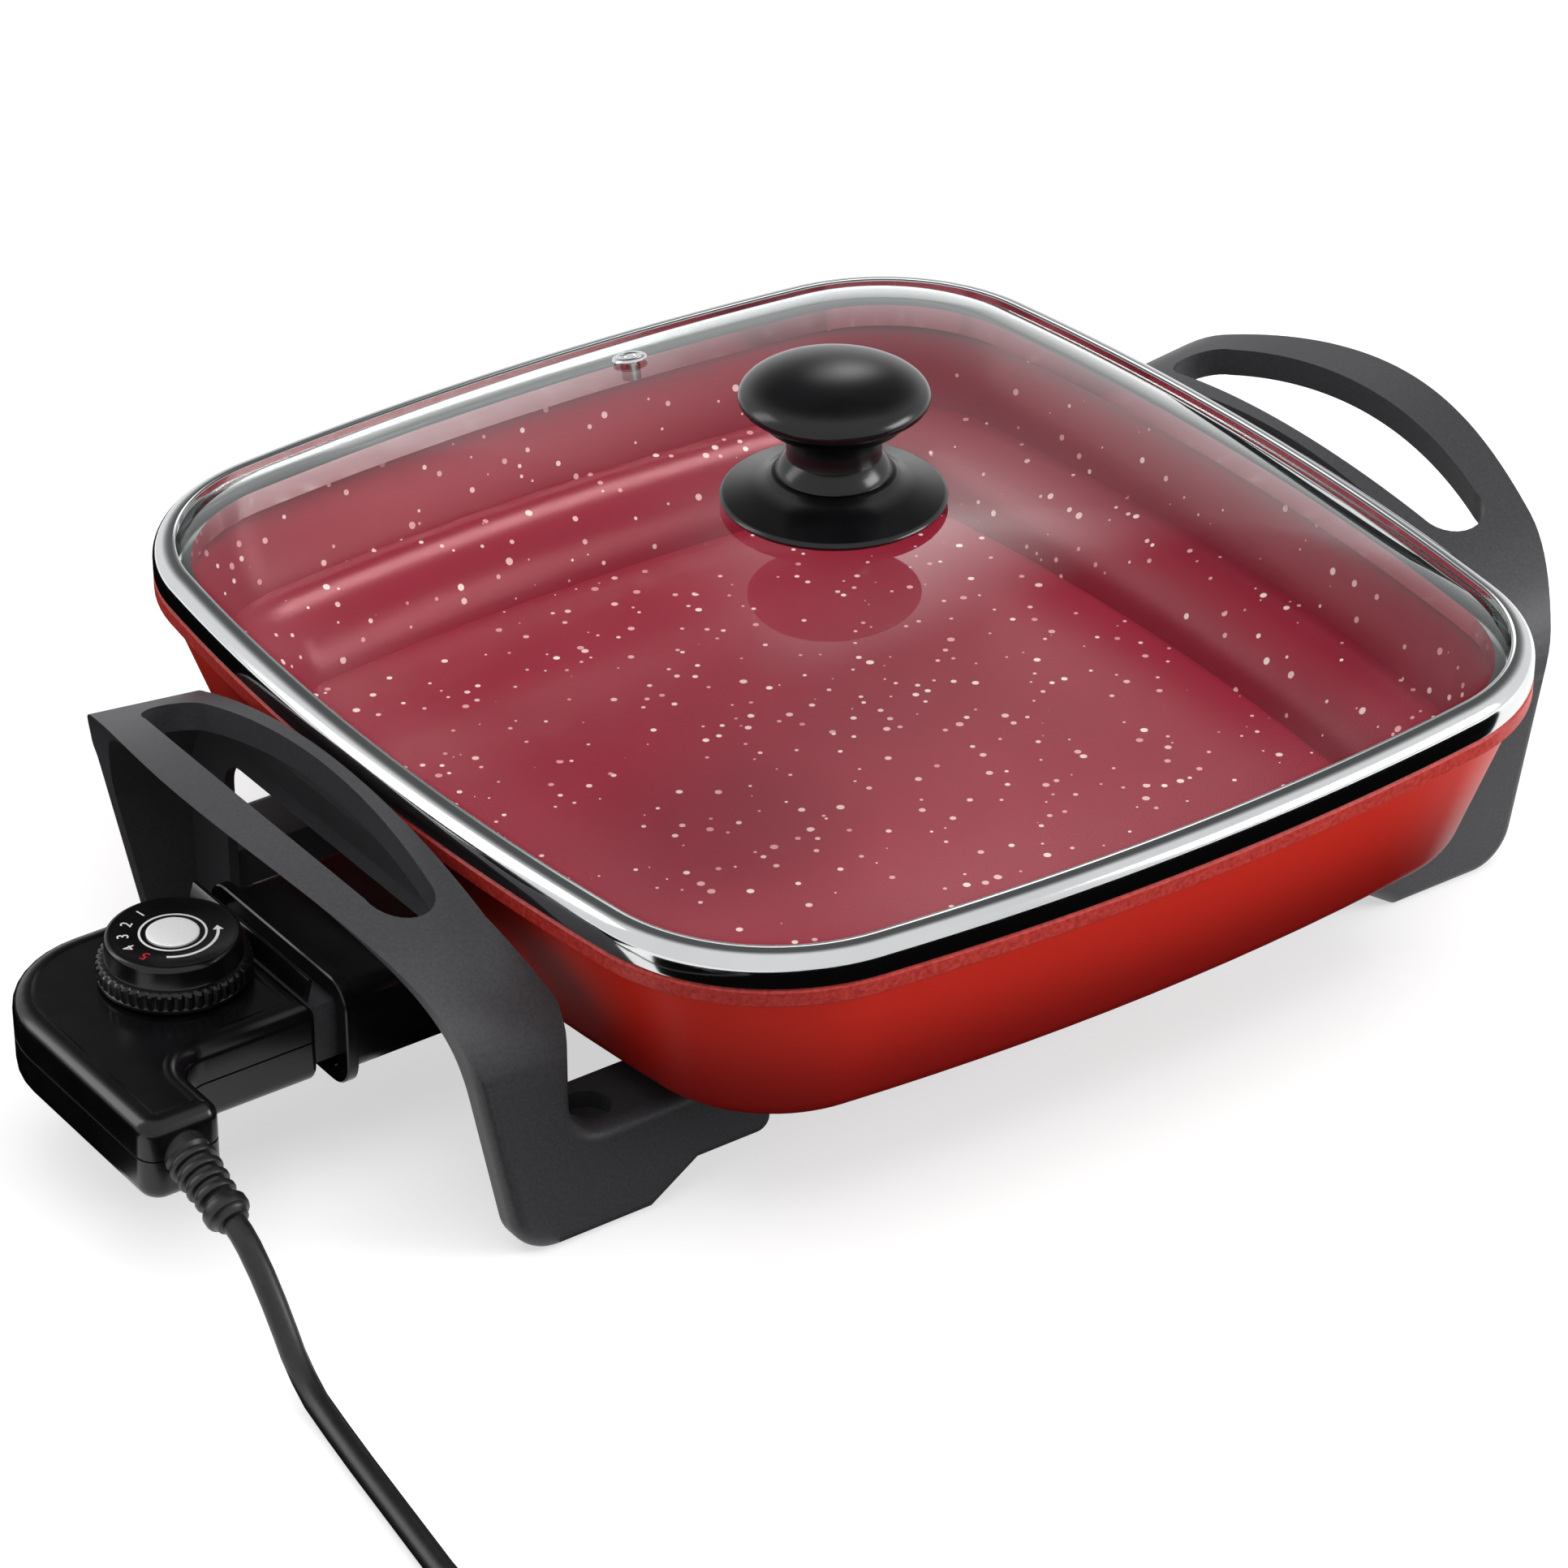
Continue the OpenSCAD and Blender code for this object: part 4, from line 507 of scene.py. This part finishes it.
shares = [0.03] + [i / 26 for i in range(2, 23)] + [0.88, 0.91, 0.94, 0.965, 0.985, 1.0]
edge_line = outline(GLASS_EDGE, *FINE)
under = [[(k * x, k * y, LIP_Z + GLASS_Z + dome(k)) for x, y in edge_line] for k in shares]
seated = outline_rings([(-GLASS_SEAT - 0.1, LIP_Z + z) for z in (GLASS_Z, GLASS_TOP)], *FINE)
over = [[(k * x, k * y, LIP_Z + GLASS_TOP + dome(k)) for x, y in edge_line] for k in reversed(shares)]
glass_dome = Form().skin(under + seated + over).piece("glass_dome", "lid", [glass], ["lid_glass"], "glass", 50)

# A small lamp kept to the pan alone, so that its ledge shines through the lid, and a strip lamp kept off the glass
lit, skipped = bpy.data.collections.new("lit_by_ledge_light"), bpy.data.collections.new("unlit_by_left_strip")
lit.objects.link(cast_pan)
skipped.objects.link(glass_dome)
skipped.collection_objects[0].light_linking.link_state = "EXCLUDE"
left_strip.light_linking.receiver_collection = skipped
ledge_light = softbox("ledge_light", (0.88, 0.3, 1.58), (0, 0.13, 0.07), (0.5, 0.5), 14)
ledge_light.light_linking.receiver_collection = lit

VENT = (10.0, 112.0)
glass_half = PAN_HALF[1] - GLASS_EDGE
vent_share = VENT[1] / glass_half
vent_lean = math.atan(dome_slope(vent_share) / glass_half)
vent_at = (*VENT, LIP_Z + GLASS_TOP + dome(vent_share))
eyelet = [(2.0, -5), (2.8, -5), (2.8, 0.6), (4.7, 0.6), (5.0, 0.9), (4.8, 1.4), (4.2, 1.8), (3.0, 1.8), (2.4, 1.6),
          (2.0, 1.0), (2.0, -5)]
Form().turned(eyelet, Matrix.Translation(vent_at) @ Matrix.Rotation(-vent_lean, 4, "X"), 40).piece(
    "steam_vent_eyelet", "lid", [band_steel], ["steam_vent"], "polished_steel", 40)

GASKET_T, BASE_H, KNOB_R, KNOB_MID, KNOB_UNDER, KNOB_OVER = 1.0, 8.0, 25.7, 22.2, 6.2, 8.3
BASE_Z = LIP_Z + DOME_H + GASKET_T
base_profile = [(2.8, 0.0), (15, 0.0), (28.7, -0.5), (29.9, -0.3), (30.5, 0.3), (30.7, 0.9), (30.4, 1.5), (29.6, 1.9),
                (22, 4.3), (18.6, 6.3), (17.0, 7.7), (16.4, BASE_H), (2.8, BASE_H)]
Form().turned(base_profile, Matrix.Translation((0, 0, BASE_Z)), 96).piece(
    "knob_base_flange", "lid", [gloss_black], ["knob_base"], "black_plastic", 40)
knob_profile = [(0, 0), (15.4, 0), (15.7, 0.4), (15.5, 1.6), (14.2, 3.6), (13.2, 4.9), (12.9, 5.2), (12.8, 6),
                (12.8, 9.5), (13.3, 11), (15.5, 13.2), (19.2, 15.6)]
for degrees in range(-48, 91, 6):
    a = math.radians(degrees)
    knob_profile.append((KNOB_R * math.cos(a), KNOB_MID + (KNOB_UNDER if a < 0 else KNOB_OVER) * math.sin(a)))
Form().turned(knob_profile, Matrix.Translation((0, 0, BASE_Z + BASE_H)), 96).piece(
    "lid_knob", "lid", [gloss_black], ["knob"], "black_plastic", 30)


# The plug-in control

CONTROL_FRONT, CONTROL_REACH, NECK_Y, ARM_X = 186.0, 250.0, 33.0, 228.0
TOP_Z, SPLIT_Z, UNDER_Z, FILLET_R, COVER_R, TAB_HALF = 53.0, 42.0, 29.2, 9.0, 4.5, 28.7


def control_plan(d):
    """The control's outline from above, drawn in by d."""
    points = []
    for x, y, sx, sy, r, a in [(-CONTROL_FRONT, -NECK_Y, -1, 1, 2, 270), (-CONTROL_FRONT, NECK_Y, -1, -1, 2, 0),
                               (-CONTROL_REACH, NECK_Y, 1, -1, 30, 90), (-CONTROL_REACH, -FACE_Y, 1, 1, 6, 180),
                               (-ARM_X, -FACE_Y, -1, 1, 4, 270)]:
        q = max(r - d, 0.3)
        points += arc(x + sx * (d + q), y + sy * (d + q), q, a, a + 90, 10)
    return points + arc(FILLET_R - ARM_X, -NECK_Y - FILLET_R, FILLET_R + d, 180, 90, 10)


def cover_round(step):
    """How far the covers' rounded edge is drawn in, and how far it is short of the flat."""
    a = math.pi / 2 * step
    return COVER_R * (1 - math.cos(a)), COVER_R * (1 - math.sin(a))


section = [(d, UNDER_Z + short) for d, short in (cover_round(i / 6) for i in range(6, 0, -1))]
section += [(0, UNDER_Z + COVER_R), (0, SPLIT_Z - 0.35), (0.35, SPLIT_Z - 0.2), (0.35, SPLIT_Z + 0.2),
            (0, SPLIT_Z + 0.35)]
section += [(d, TOP_Z - short) for d, short in (cover_round(i / 8) for i in range(9))]
section += [(5.4, TOP_Z), (5.8, TOP_Z - 0.25), (6.2, TOP_Z - 0.25)]
housing = Form().skin([[(x, y, z) for x, y in control_plan(d)] for d, z in section])
tab = [(-187.2, 52.9), (-186.0, 51.0), (-184.2, 57.6), (-184.4, 58.0), (-185.4, 58.0), (-185.6, 57.8)]
housing.skin([[(x, y, z) for x, z in tab] for y in (-TAB_HALF, TAB_HALF)])
housing.piece("control_housing", "control", [gloss_black], ["control_top_cover", "control_base_cover"],
              "black_plastic", 35)

RIBS, RIB_R, RIB_TAPER, RIB_Z, RIB_PITCH = 4, 6.6, 0.3, 2.2, 3.7
relief_place = Matrix.Translation((-CORD_X, -FACE_Y, CORD_Z)) @ Matrix.Rotation(math.pi / 2 + RELIEF_DROOP, 4, "X")
relief = [(6.2, -2.5), (6.2, 0.8), (5.6, 1.4)]
for k in range(RIBS):
    r, z = RIB_R - RIB_TAPER * k, RIB_Z + RIB_PITCH * k
    relief += [(r - 1.4, z), (r - 0.3, z + 0.3), (r, z + 0.9), (r, z + 1.7), (r - 0.3, z + 2.2), (r - 1.4, z + 2.5)]
relief += [(4.6, 17.6), (5.7, 18.0), (6.1, 18.7), (6.1, 20.6), (5.8, 21.4), (5.0, 21.8), (4.6, 22.4), (4.3, 23.6),
           (3.4, RELIEF_L), (0, RELIEF_L)]
Form().turned(relief, relief_place, 48).piece(
    "strain_relief_boot", "control", [pvc], ["strain_relief"], "cord_jacket", 40)


# The dial: a smooth cap over a grooved skirt, with printed marks and a spun insert

DIAL_X, DIAL_Z, DIAL_R, SKIRT_R, DIAL_H, GROOVES, GROOVE_STEPS = -208.0, 53.5, 17.8, 20.2, 12.5, 48, 6
FACE_DIP, INK_T, MARK_R, NUMBER_H = 0.2, 0.06, 12.6, 4.4


def skirt_ring(r, depth, z):
    """A ring of the dial with grooves of that depth."""
    ring = []
    for i in range(GROOVES * GROOVE_STEPS):
        a = 2 * math.pi * i / (GROOVES * GROOVE_STEPS)
        dip = depth * max(0.0, math.cos(GROOVES * a)) ** 0.6
        ring.append((DIAL_X + (r - dip) * math.cos(a), (r - dip) * math.sin(a), z))
    return ring


grip = [(18.6, 0, 0.0), (19.6, 0, 0.0), (SKIRT_R - 0.1, 0, 0.4), (SKIRT_R - 0.1, 0, 1.2), (SKIRT_R - 0.5, 0, 1.5),
        (SKIRT_R, 0.7, 1.7), (SKIRT_R, 0.8, 5.0), (SKIRT_R - 0.5, 0.5, 5.7), (SKIRT_R - 1.2, 0, 6.0),
        (DIAL_R + 0.2, 0, 6.2), (DIAL_R, 0, 6.6)]
grip += [(DIAL_R, 0, DIAL_H - 1.5), (DIAL_R - 0.1, 0, DIAL_H - 0.9), (DIAL_R - 0.45, 0, DIAL_H - 0.35),
         (DIAL_R - 1.0, 0, DIAL_H - 0.05), (DIAL_R - 1.6, 0, DIAL_H), (DIAL_R - 2.0, 0, DIAL_H - FACE_DIP),
         (7.3, 0, DIAL_H - FACE_DIP), (7.0, 0, DIAL_H - 1.0), (3.0, 0, DIAL_H - 1.0)]
Form().skin([skirt_ring(r, deep, DIAL_Z + z) for r, deep, z in grip]).piece(
    "control_dial", "dial", [gloss_black], ["dial"], "black_plastic", 32)
Form().turned([(0, -1.0), (6.9, -1.0), (6.9, 0.0), (6.6, 0.25), (6.0, 0.3), (3, 0.3), (0, 0.3)],
              Matrix.Translation((DIAL_X, 0, DIAL_Z + DIAL_H)), 64).piece(
    "dial_insert", "dial", [spun_aluminium], ["dial_cap"], "dial_silver", 40)


# Printed marks on the dial: numbers for the heat steps, a red one for the hottest, a ring and a turn arrow

def flat_mark(name, points, ink):
    """A thin printed shape on the dial's face, from (x, y) points round its centre."""
    z = DIAL_Z + DIAL_H - FACE_DIP
    mark = Form().skin([[(DIAL_X + x, y, h) for x, y in points] for h in (z, z + INK_T)])
    return mark.piece(name, "dial", [ink], slot="black_plastic", crease=30)


def ring_mark(name, r0, r1, a0, a1, ink, n=40):
    """A printed part of a ring, between two radii and two angles."""
    return flat_mark(name, arc(0, 0, r1, a0, a1, n) + arc(0, 0, r0, a1, a0, n), ink)


ring_mark("insert_ring_half", 8.3, 8.9, 0, 180, white_ink)
ring_mark("insert_ring_other_half", 8.3, 8.9, 180, 360, white_ink)
ARROW_END = 332
ring_mark("turn_arrow_arc", 11.2, 12.0, 232, ARROW_END, white_ink)
corners = [(r, math.radians(ARROW_END) + a) for r, a in ((10.2, 0), (13.0, 0), (11.6, 0.17))]
flat_mark("turn_arrow_tip", [(r * math.cos(a), r * math.sin(a)) for r, a in corners], white_ink)


def number_mark(name, words, angle, ink):
    """A number that reads from the dial's edge, turned into a thin mesh."""
    text = bpy.data.curves.new(name, "FONT")
    text.body, text.size, text.extrude = words, NUMBER_H * MM, INK_T / 2 * MM
    text.align_x = text.align_y = "CENTER"
    made = linked(name + "_line", text)
    bpy.context.view_layer.update()
    mesh = bpy.data.meshes.new_from_object(made.evaluated_get(bpy.context.evaluated_depsgraph_get()))
    bpy.data.objects.remove(made)
    mesh.name = name
    turn = math.radians(angle)
    at = (PAN_X + DIAL_X + MARK_R * math.cos(turn), MARK_R * math.sin(turn), DIAL_Z + DIAL_H - 0.16)
    mesh.transform(Matrix.Translation(Vector(at) * MM) @ Matrix.Rotation(turn - math.pi / 2, 4, "Z"))
    mesh.materials.clear()
    mesh.materials.append(ink)
    figure = linked(name, mesh)
    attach(figure, "dial")


for step, angle in enumerate((100, 128, 154, 180, 206), 1):
    number_mark(f"heat_number_{step}", str(step), angle, red_ink if step == 5 else white_ink)


# The handle-and-leg brackets: one moulding, mirrored for the control's side

HALF_Y, CROWN_Z, CROWN_R, SHOULDER_R, STRAP_T = 95.5, 102.2, 212.0, 41.0, 8.0
TILT, TILT_X, LEG_OUTER, LEG_LEAN, FLARE_Z, FLARE_R = math.radians(6.8), 188.0, 165.0, 0.2, 60.0, 78.0
LEG_INNER, FOOT_R, FOOT_INNER, ARM_INNER, ARM_Z, FOOT_D, PLATFORM_Z = 149.0, 14.0, 125.0, 87.0, 9.5, 23.0, 31.5
HANDLE_INNER, HANDLE_Z, SEAT_OUTER, ARM_R = PAN_HALF[0] + 3.5, LIP_Z - 5, 112.0, 5.0
SLOT_HALF, SLOT_OUTER, SLOT_OUTER_BOW, SLOT_INNER, SLOT_INNER_BOW = 63.5, 189.2, 6.4, 160.5, 3.2
WEB_T, WEB_TURN, WEB_HALF, OPEN_HALF, OPEN_Z, OPEN_R = 3.0, 70.0, 94.0, 69.0, 65.0, 9.0
LEG_FILLET, EDGE_R, STRAP_L, STRAP_FOOT, SIDE_TOP = 10.0, 4.0, 260.0, -40.0, 107.0
SLOT_CUT_Z, OPEN_CUT_X = (79.0, 130.0), (100.0, 200.0)
HOLLOW_X, HOLLOW_HALF, HOLLOW_Z = 118.0, (25.0, 4.5), (-1.0, 24.5)
RECESS_X, RECESS_R, RECESS_Z, RECESS_H = 138.0, 6.5, 26.5, 15.0
ARCH_Z = CROWN_Z - CROWN_R
SHOULDER_Y = HALF_Y - SHOULDER_R
SHOULDER_Z = ARCH_Z + math.sqrt((CROWN_R - SHOULDER_R) ** 2 - SHOULDER_Y ** 2)
SHOULDER_TURN = math.degrees(math.atan2(SHOULDER_Z - ARCH_Z, SHOULDER_Y))
LEAN_LENGTH = math.hypot(1, LEG_LEAN)
FLARE = (LEG_OUTER + LEG_LEAN * FLARE_Z + FLARE_R / LEAN_LENGTH, FLARE_Z - FLARE_R * LEG_LEAN / LEAN_LENGTH)


def arch(t):
    """The strap's arch from the front, drawn in by t: legs, shoulders and crown."""
    turn = SHOULDER_TURN
    points = [(HALF_Y - t, STRAP_FOOT)] + arc(SHOULDER_Y, SHOULDER_Z, SHOULDER_R - t, 0, turn, 16)
    points += arc(0, ARCH_Z, CROWN_R - t, turn, 180 - turn, 36)[1:-1]
    return points + arc(-SHOULDER_Y, SHOULDER_Z, SHOULDER_R - t, 180 - turn, 180, 16) + [(t - HALF_Y, STRAP_FOOT)]


def arm_side():
    """The arm under the pan, from the foot's sole round to the pan's seat."""
    points = [(FOOT_INNER, 0), (FOOT_INNER - ARM_Z - 5, ARM_Z)]
    points += arc(ARM_INNER + ARM_R, ARM_Z + ARM_R, ARM_R, -90, -180, 8)
    return points + [(ARM_INNER, PAN_BOTTOM), (SEAT_OUTER, PAN_BOTTOM), (SEAT_OUTER, PLATFORM_Z)]


def bracket_side():
    """The whole bracket from the side: the flared outer line, the foot, the arm and the inner line."""
    heights = [SIDE_TOP - (SIDE_TOP - FLARE_Z) * i / 20 for i in range(21)]
    points = [(FLARE[0] - math.sqrt(FLARE_R ** 2 - (z - FLARE[1]) ** 2), z) for z in heights]
    toe_x, toe_turn = LEG_OUTER + LEG_LEAN * FOOT_R - FOOT_R * LEAN_LENGTH, math.degrees(math.atan(LEG_LEAN))
    points += arc(toe_x, FOOT_R, FOOT_R, -toe_turn, -90, 12)
    points += arm_side() + arc(LEG_INNER - LEG_FILLET, PLATFORM_Z + LEG_FILLET, LEG_FILLET, -90, 0, 10)
    return points + [(LEG_INNER, WEB_TURN), (HANDLE_INNER, HANDLE_Z), (HANDLE_INNER, SIDE_TOP)]


def slot_plan():
    """The finger slot from above: two bowed sides and round ends."""
    outer_end, inner_end = SLOT_OUTER - SLOT_OUTER_BOW, SLOT_INNER + SLOT_INNER_BOW
    mid, r = (outer_end + inner_end) / 2, (outer_end - inner_end) / 2
    half = SLOT_HALF - r
    ys = [half * i / 12 for i in range(-12, 13)]
    points = [(SLOT_OUTER - SLOT_OUTER_BOW * (y / half) ** 2, y) for y in ys] + arc(mid, half, r, 0, 180, 14)[1:-1]
    points += [(SLOT_INNER + SLOT_INNER_BOW * (y / half) ** 2, y) for y in reversed(ys)]
    return points + arc(mid, -half, r, 180, 360, 14)[1:-1]


def inset(points, depth):
    """Draws a closed outline in by a depth, each point along the middle of its corner."""
    turn = sum(a[0] * b[1] - b[0] * a[1] for a, b in zip(points, points[1:] + points[:1]))
    moved = []
    for a, b, c in zip(points[-1:] + points[:-1], points, points[1:] + points[:1]):
        before, after = Vector(b) - Vector(a), Vector(c) - Vector(b)
        normals = [Vector((-v.y, v.x)).normalized() * math.copysign(1, turn) for v in (before, after)]
        middle = (normals[0] + normals[1]).normalized()
        moved.append(tuple(Vector(b) + middle * depth / max(middle.dot(normals[0]), 0.5)))
    return moved


def block(form):
    """A bare solid for joining and cutting, in millimetres."""
    mesh = bpy.data.meshes.new("block")
    mesh.from_pydata(form.points, [], form.faces)
    outward(mesh)
    return linked("block", mesh)


def joined(base, tool, how):
    """Joins, cuts or crosses two blocks and leaves the result in the first."""
    step = base.modifiers.new(how, "BOOLEAN")
    step.operation, step.solver, step.object = how, "EXACT", tool
    bpy.context.view_layer.update()
    mesh = bpy.data.meshes.new_from_object(base.evaluated_get(bpy.context.evaluated_depsgraph_get()))
    base.modifiers.clear()
    base.data = mesh
    bpy.data.objects.remove(tool)
    return base


def along(points, run, turn=Matrix.Identity(4)):
    """A block with that outline from the front, between two places along x, then turned."""
    return block(Form().skin([[tuple(turn @ Vector((x, y, z))) for y, z in points] for x in run]))


def across(points, run):
    """A block with that outline from the side, between two places along y."""
    return block(Form().skin([[(x, y, z) for x, z in points] for y in run]))


def bracket(name, node, side):
    """A whole bracket: strap, rounded sides, web and feet joined, and slot, hollows and recesses cut."""
    tilt = Matrix.Translation((TILT_X, 0, CROWN_Z)) @ Matrix.Rotation(-TILT, 4, "Y")
    tilt = tilt @ Matrix.Translation((-STRAP_L / 2, 0, -CROWN_Z))
    strap = along(arch(0) + list(reversed(arch(STRAP_T))), (0, STRAP_L), tilt)
    turns = [math.radians(15 * i) for i in range(6, -1, -1)]
    ends = [(HALF_Y + 0.02 - EDGE_R * (1 - math.sin(a)), EDGE_R * (1 - math.cos(a))) for a in turns]
    ends = [(-y, depth) for y, depth in ends] + list(reversed(ends))
    sides = block(Form().skin([[(x, y, z) for x, z in inset(bracket_side(), depth)] for y, depth in ends]))
    moulding = joined(strap, sides, "INTERSECT")
    back = [(LEG_INNER, 0), (LEG_INNER, WEB_TURN), (HANDLE_INNER, HANDLE_Z), (HANDLE_INNER, CROWN_Z)]
    front = [(x + WEB_T, z) for x, z in back]
    web = across(back[:1] + front + back[:0:-1], (-WEB_HALF, WEB_HALF))
    joined(web, along(arch(STRAP_T / 2), (0, STRAP_L), tilt), "INTERSECT")
    opening = [(OPEN_HALF, -1)] + arc(OPEN_HALF - OPEN_R, OPEN_Z - OPEN_R, OPEN_R, 0, 90, 8)
    joined(web, along(opening + [(-y, z) for y, z in reversed(opening)], OPEN_CUT_X), "DIFFERENCE")
    joined(moulding, web, "UNION")
    sole = LEG_INNER + WEB_T / 2
    foot = arm_side() + [(sole, PLATFORM_Z), (sole, 0)]
    for s in (-1, 1):
        joined(moulding, across(foot, (s * (HALF_Y - FOOT_D), s * (HALF_Y - STRAP_T / 2))), "UNION")
    slot = Form().skin([[(x, y, z) for x, y in slot_plan()] for z in SLOT_CUT_Z])
    joined(moulding, block(slot), "DIFFERENCE")
    for s in (-1, 1):
        y = s * (HALF_Y - FOOT_D / 2)
        hollow = Form().skin([[(HOLLOW_X + x, y + v, z) for x, v in round_rect(*HOLLOW_HALF, 2)] for z in HOLLOW_Z])
        joined(moulding, block(hollow), "DIFFERENCE")
        recess = Form().turned([(RECESS_R, 0), (RECESS_R, RECESS_H)], Matrix.Translation((RECESS_X, y, RECESS_Z)), 40)
        joined(moulding, block(recess), "DIFFERENCE")
    work = bmesh.new()
    work.from_mesh(moulding.data)
    bpy.data.objects.remove(moulding)
    bmesh.ops.remove_doubles(work, verts=work.verts, dist=0.01)
    bmesh.ops.dissolve_limit(work, angle_limit=math.radians(0.5), verts=work.verts, edges=work.edges)
    made = Form()
    made.points = [(side * v.co.x, v.co.y, v.co.z) for v in work.verts]
    work.verts.index_update()
    made.faces = [[v.index for v in f.verts] for f in work.faces]
    made.finish = [0] * len(made.faces)
    work.free()
    moulding = made.piece(name, "skillet", [phenolic], [node], "bracket_plastic", 30)
    even = moulding.modifiers.new("flat_faces", "WEIGHTED_NORMAL")
    even.weight, even.keep_sharp = 100, True


bracket("far_handle_bracket", "far_side_bracket", 1)
bracket("control_handle_bracket", "control_side_bracket", -1)


# The terminal guard: a sleeve with a flanged mouth, and its tongue under the pan

SLEEVE_Z, SLEEVE_HALF, SLEEVE_R, TONGUE_X = 39.0, (31.0, 13.0), 5.0, -123.5


def sleeve_ring(x, grow):
    """The sleeve's outline at a place along x, drawn out by grow."""
    half_y, half_z = SLEEVE_HALF
    return [(x, y, SLEEVE_Z + z) for y, z in round_rect(half_y + grow, half_z + grow, max(SLEEVE_R + grow, 0.8), 8)]


sleeve = [(-140.5, 0), (-173.9, 0), (-174.3, 0.4), (-174.5, 1.0), (-174.5, 2.5), (-174.9, 3.0), (-177.6, 3.0),
          (-178.0, 2.6), (-178.0, -1.8), (-177.6, -2.2), (-140.5, -2.2)]
guard = Form().skin([sleeve_ring(x, grow) for x, grow in sleeve], loop=True)
guard.skin([[(TONGUE_X + x, y, z) for x, y in round_rect(18.5, 26, 3)] for z in GUARD_Z])
guard.skin([[(GUARD_BOSS_X + x, y, z) for x, y in round_rect(5, 41, 4.9)] for z in GUARD_Z])
guard.piece("terminal_guard_sleeve", "skillet", [gloss_black], ["terminal_guard"], "black_plastic", 35)


# Pieces whose solids are right as they are get their finish

for node, finish in [("heating_element", sheath), ("terminal_pins", plated_steel), ("terminal_insulators", steatite),
                     ("bracket_screws", plated_steel), ("guard_screws", plated_steel), ("knob_gasket", silicone),
                     ("knob_washer", plated_steel), ("knob_screw", plated_steel), ("terminal_block", phenolic),
                     ("terminal_sockets", brass), ("probe_tube", plated_steel), ("probe_rod", plated_steel),
                     ("thermostat_frame", plated_steel), ("fixed_contact_blade", brass), ("moving_contact_blade", brass),
                     ("contact_insulators", steatite), ("contact_rivet", brass), ("cord_clamp", phenolic),
                     ("control_screws", plated_steel), ("dial_spindle", plated_steel), ("cord_tie", pvc),
                     ("plug_body", pvc), ("plug_pins", brass)]:
    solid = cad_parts[node]
    solid.data.materials.clear()
    solid.data.materials.append(finish)
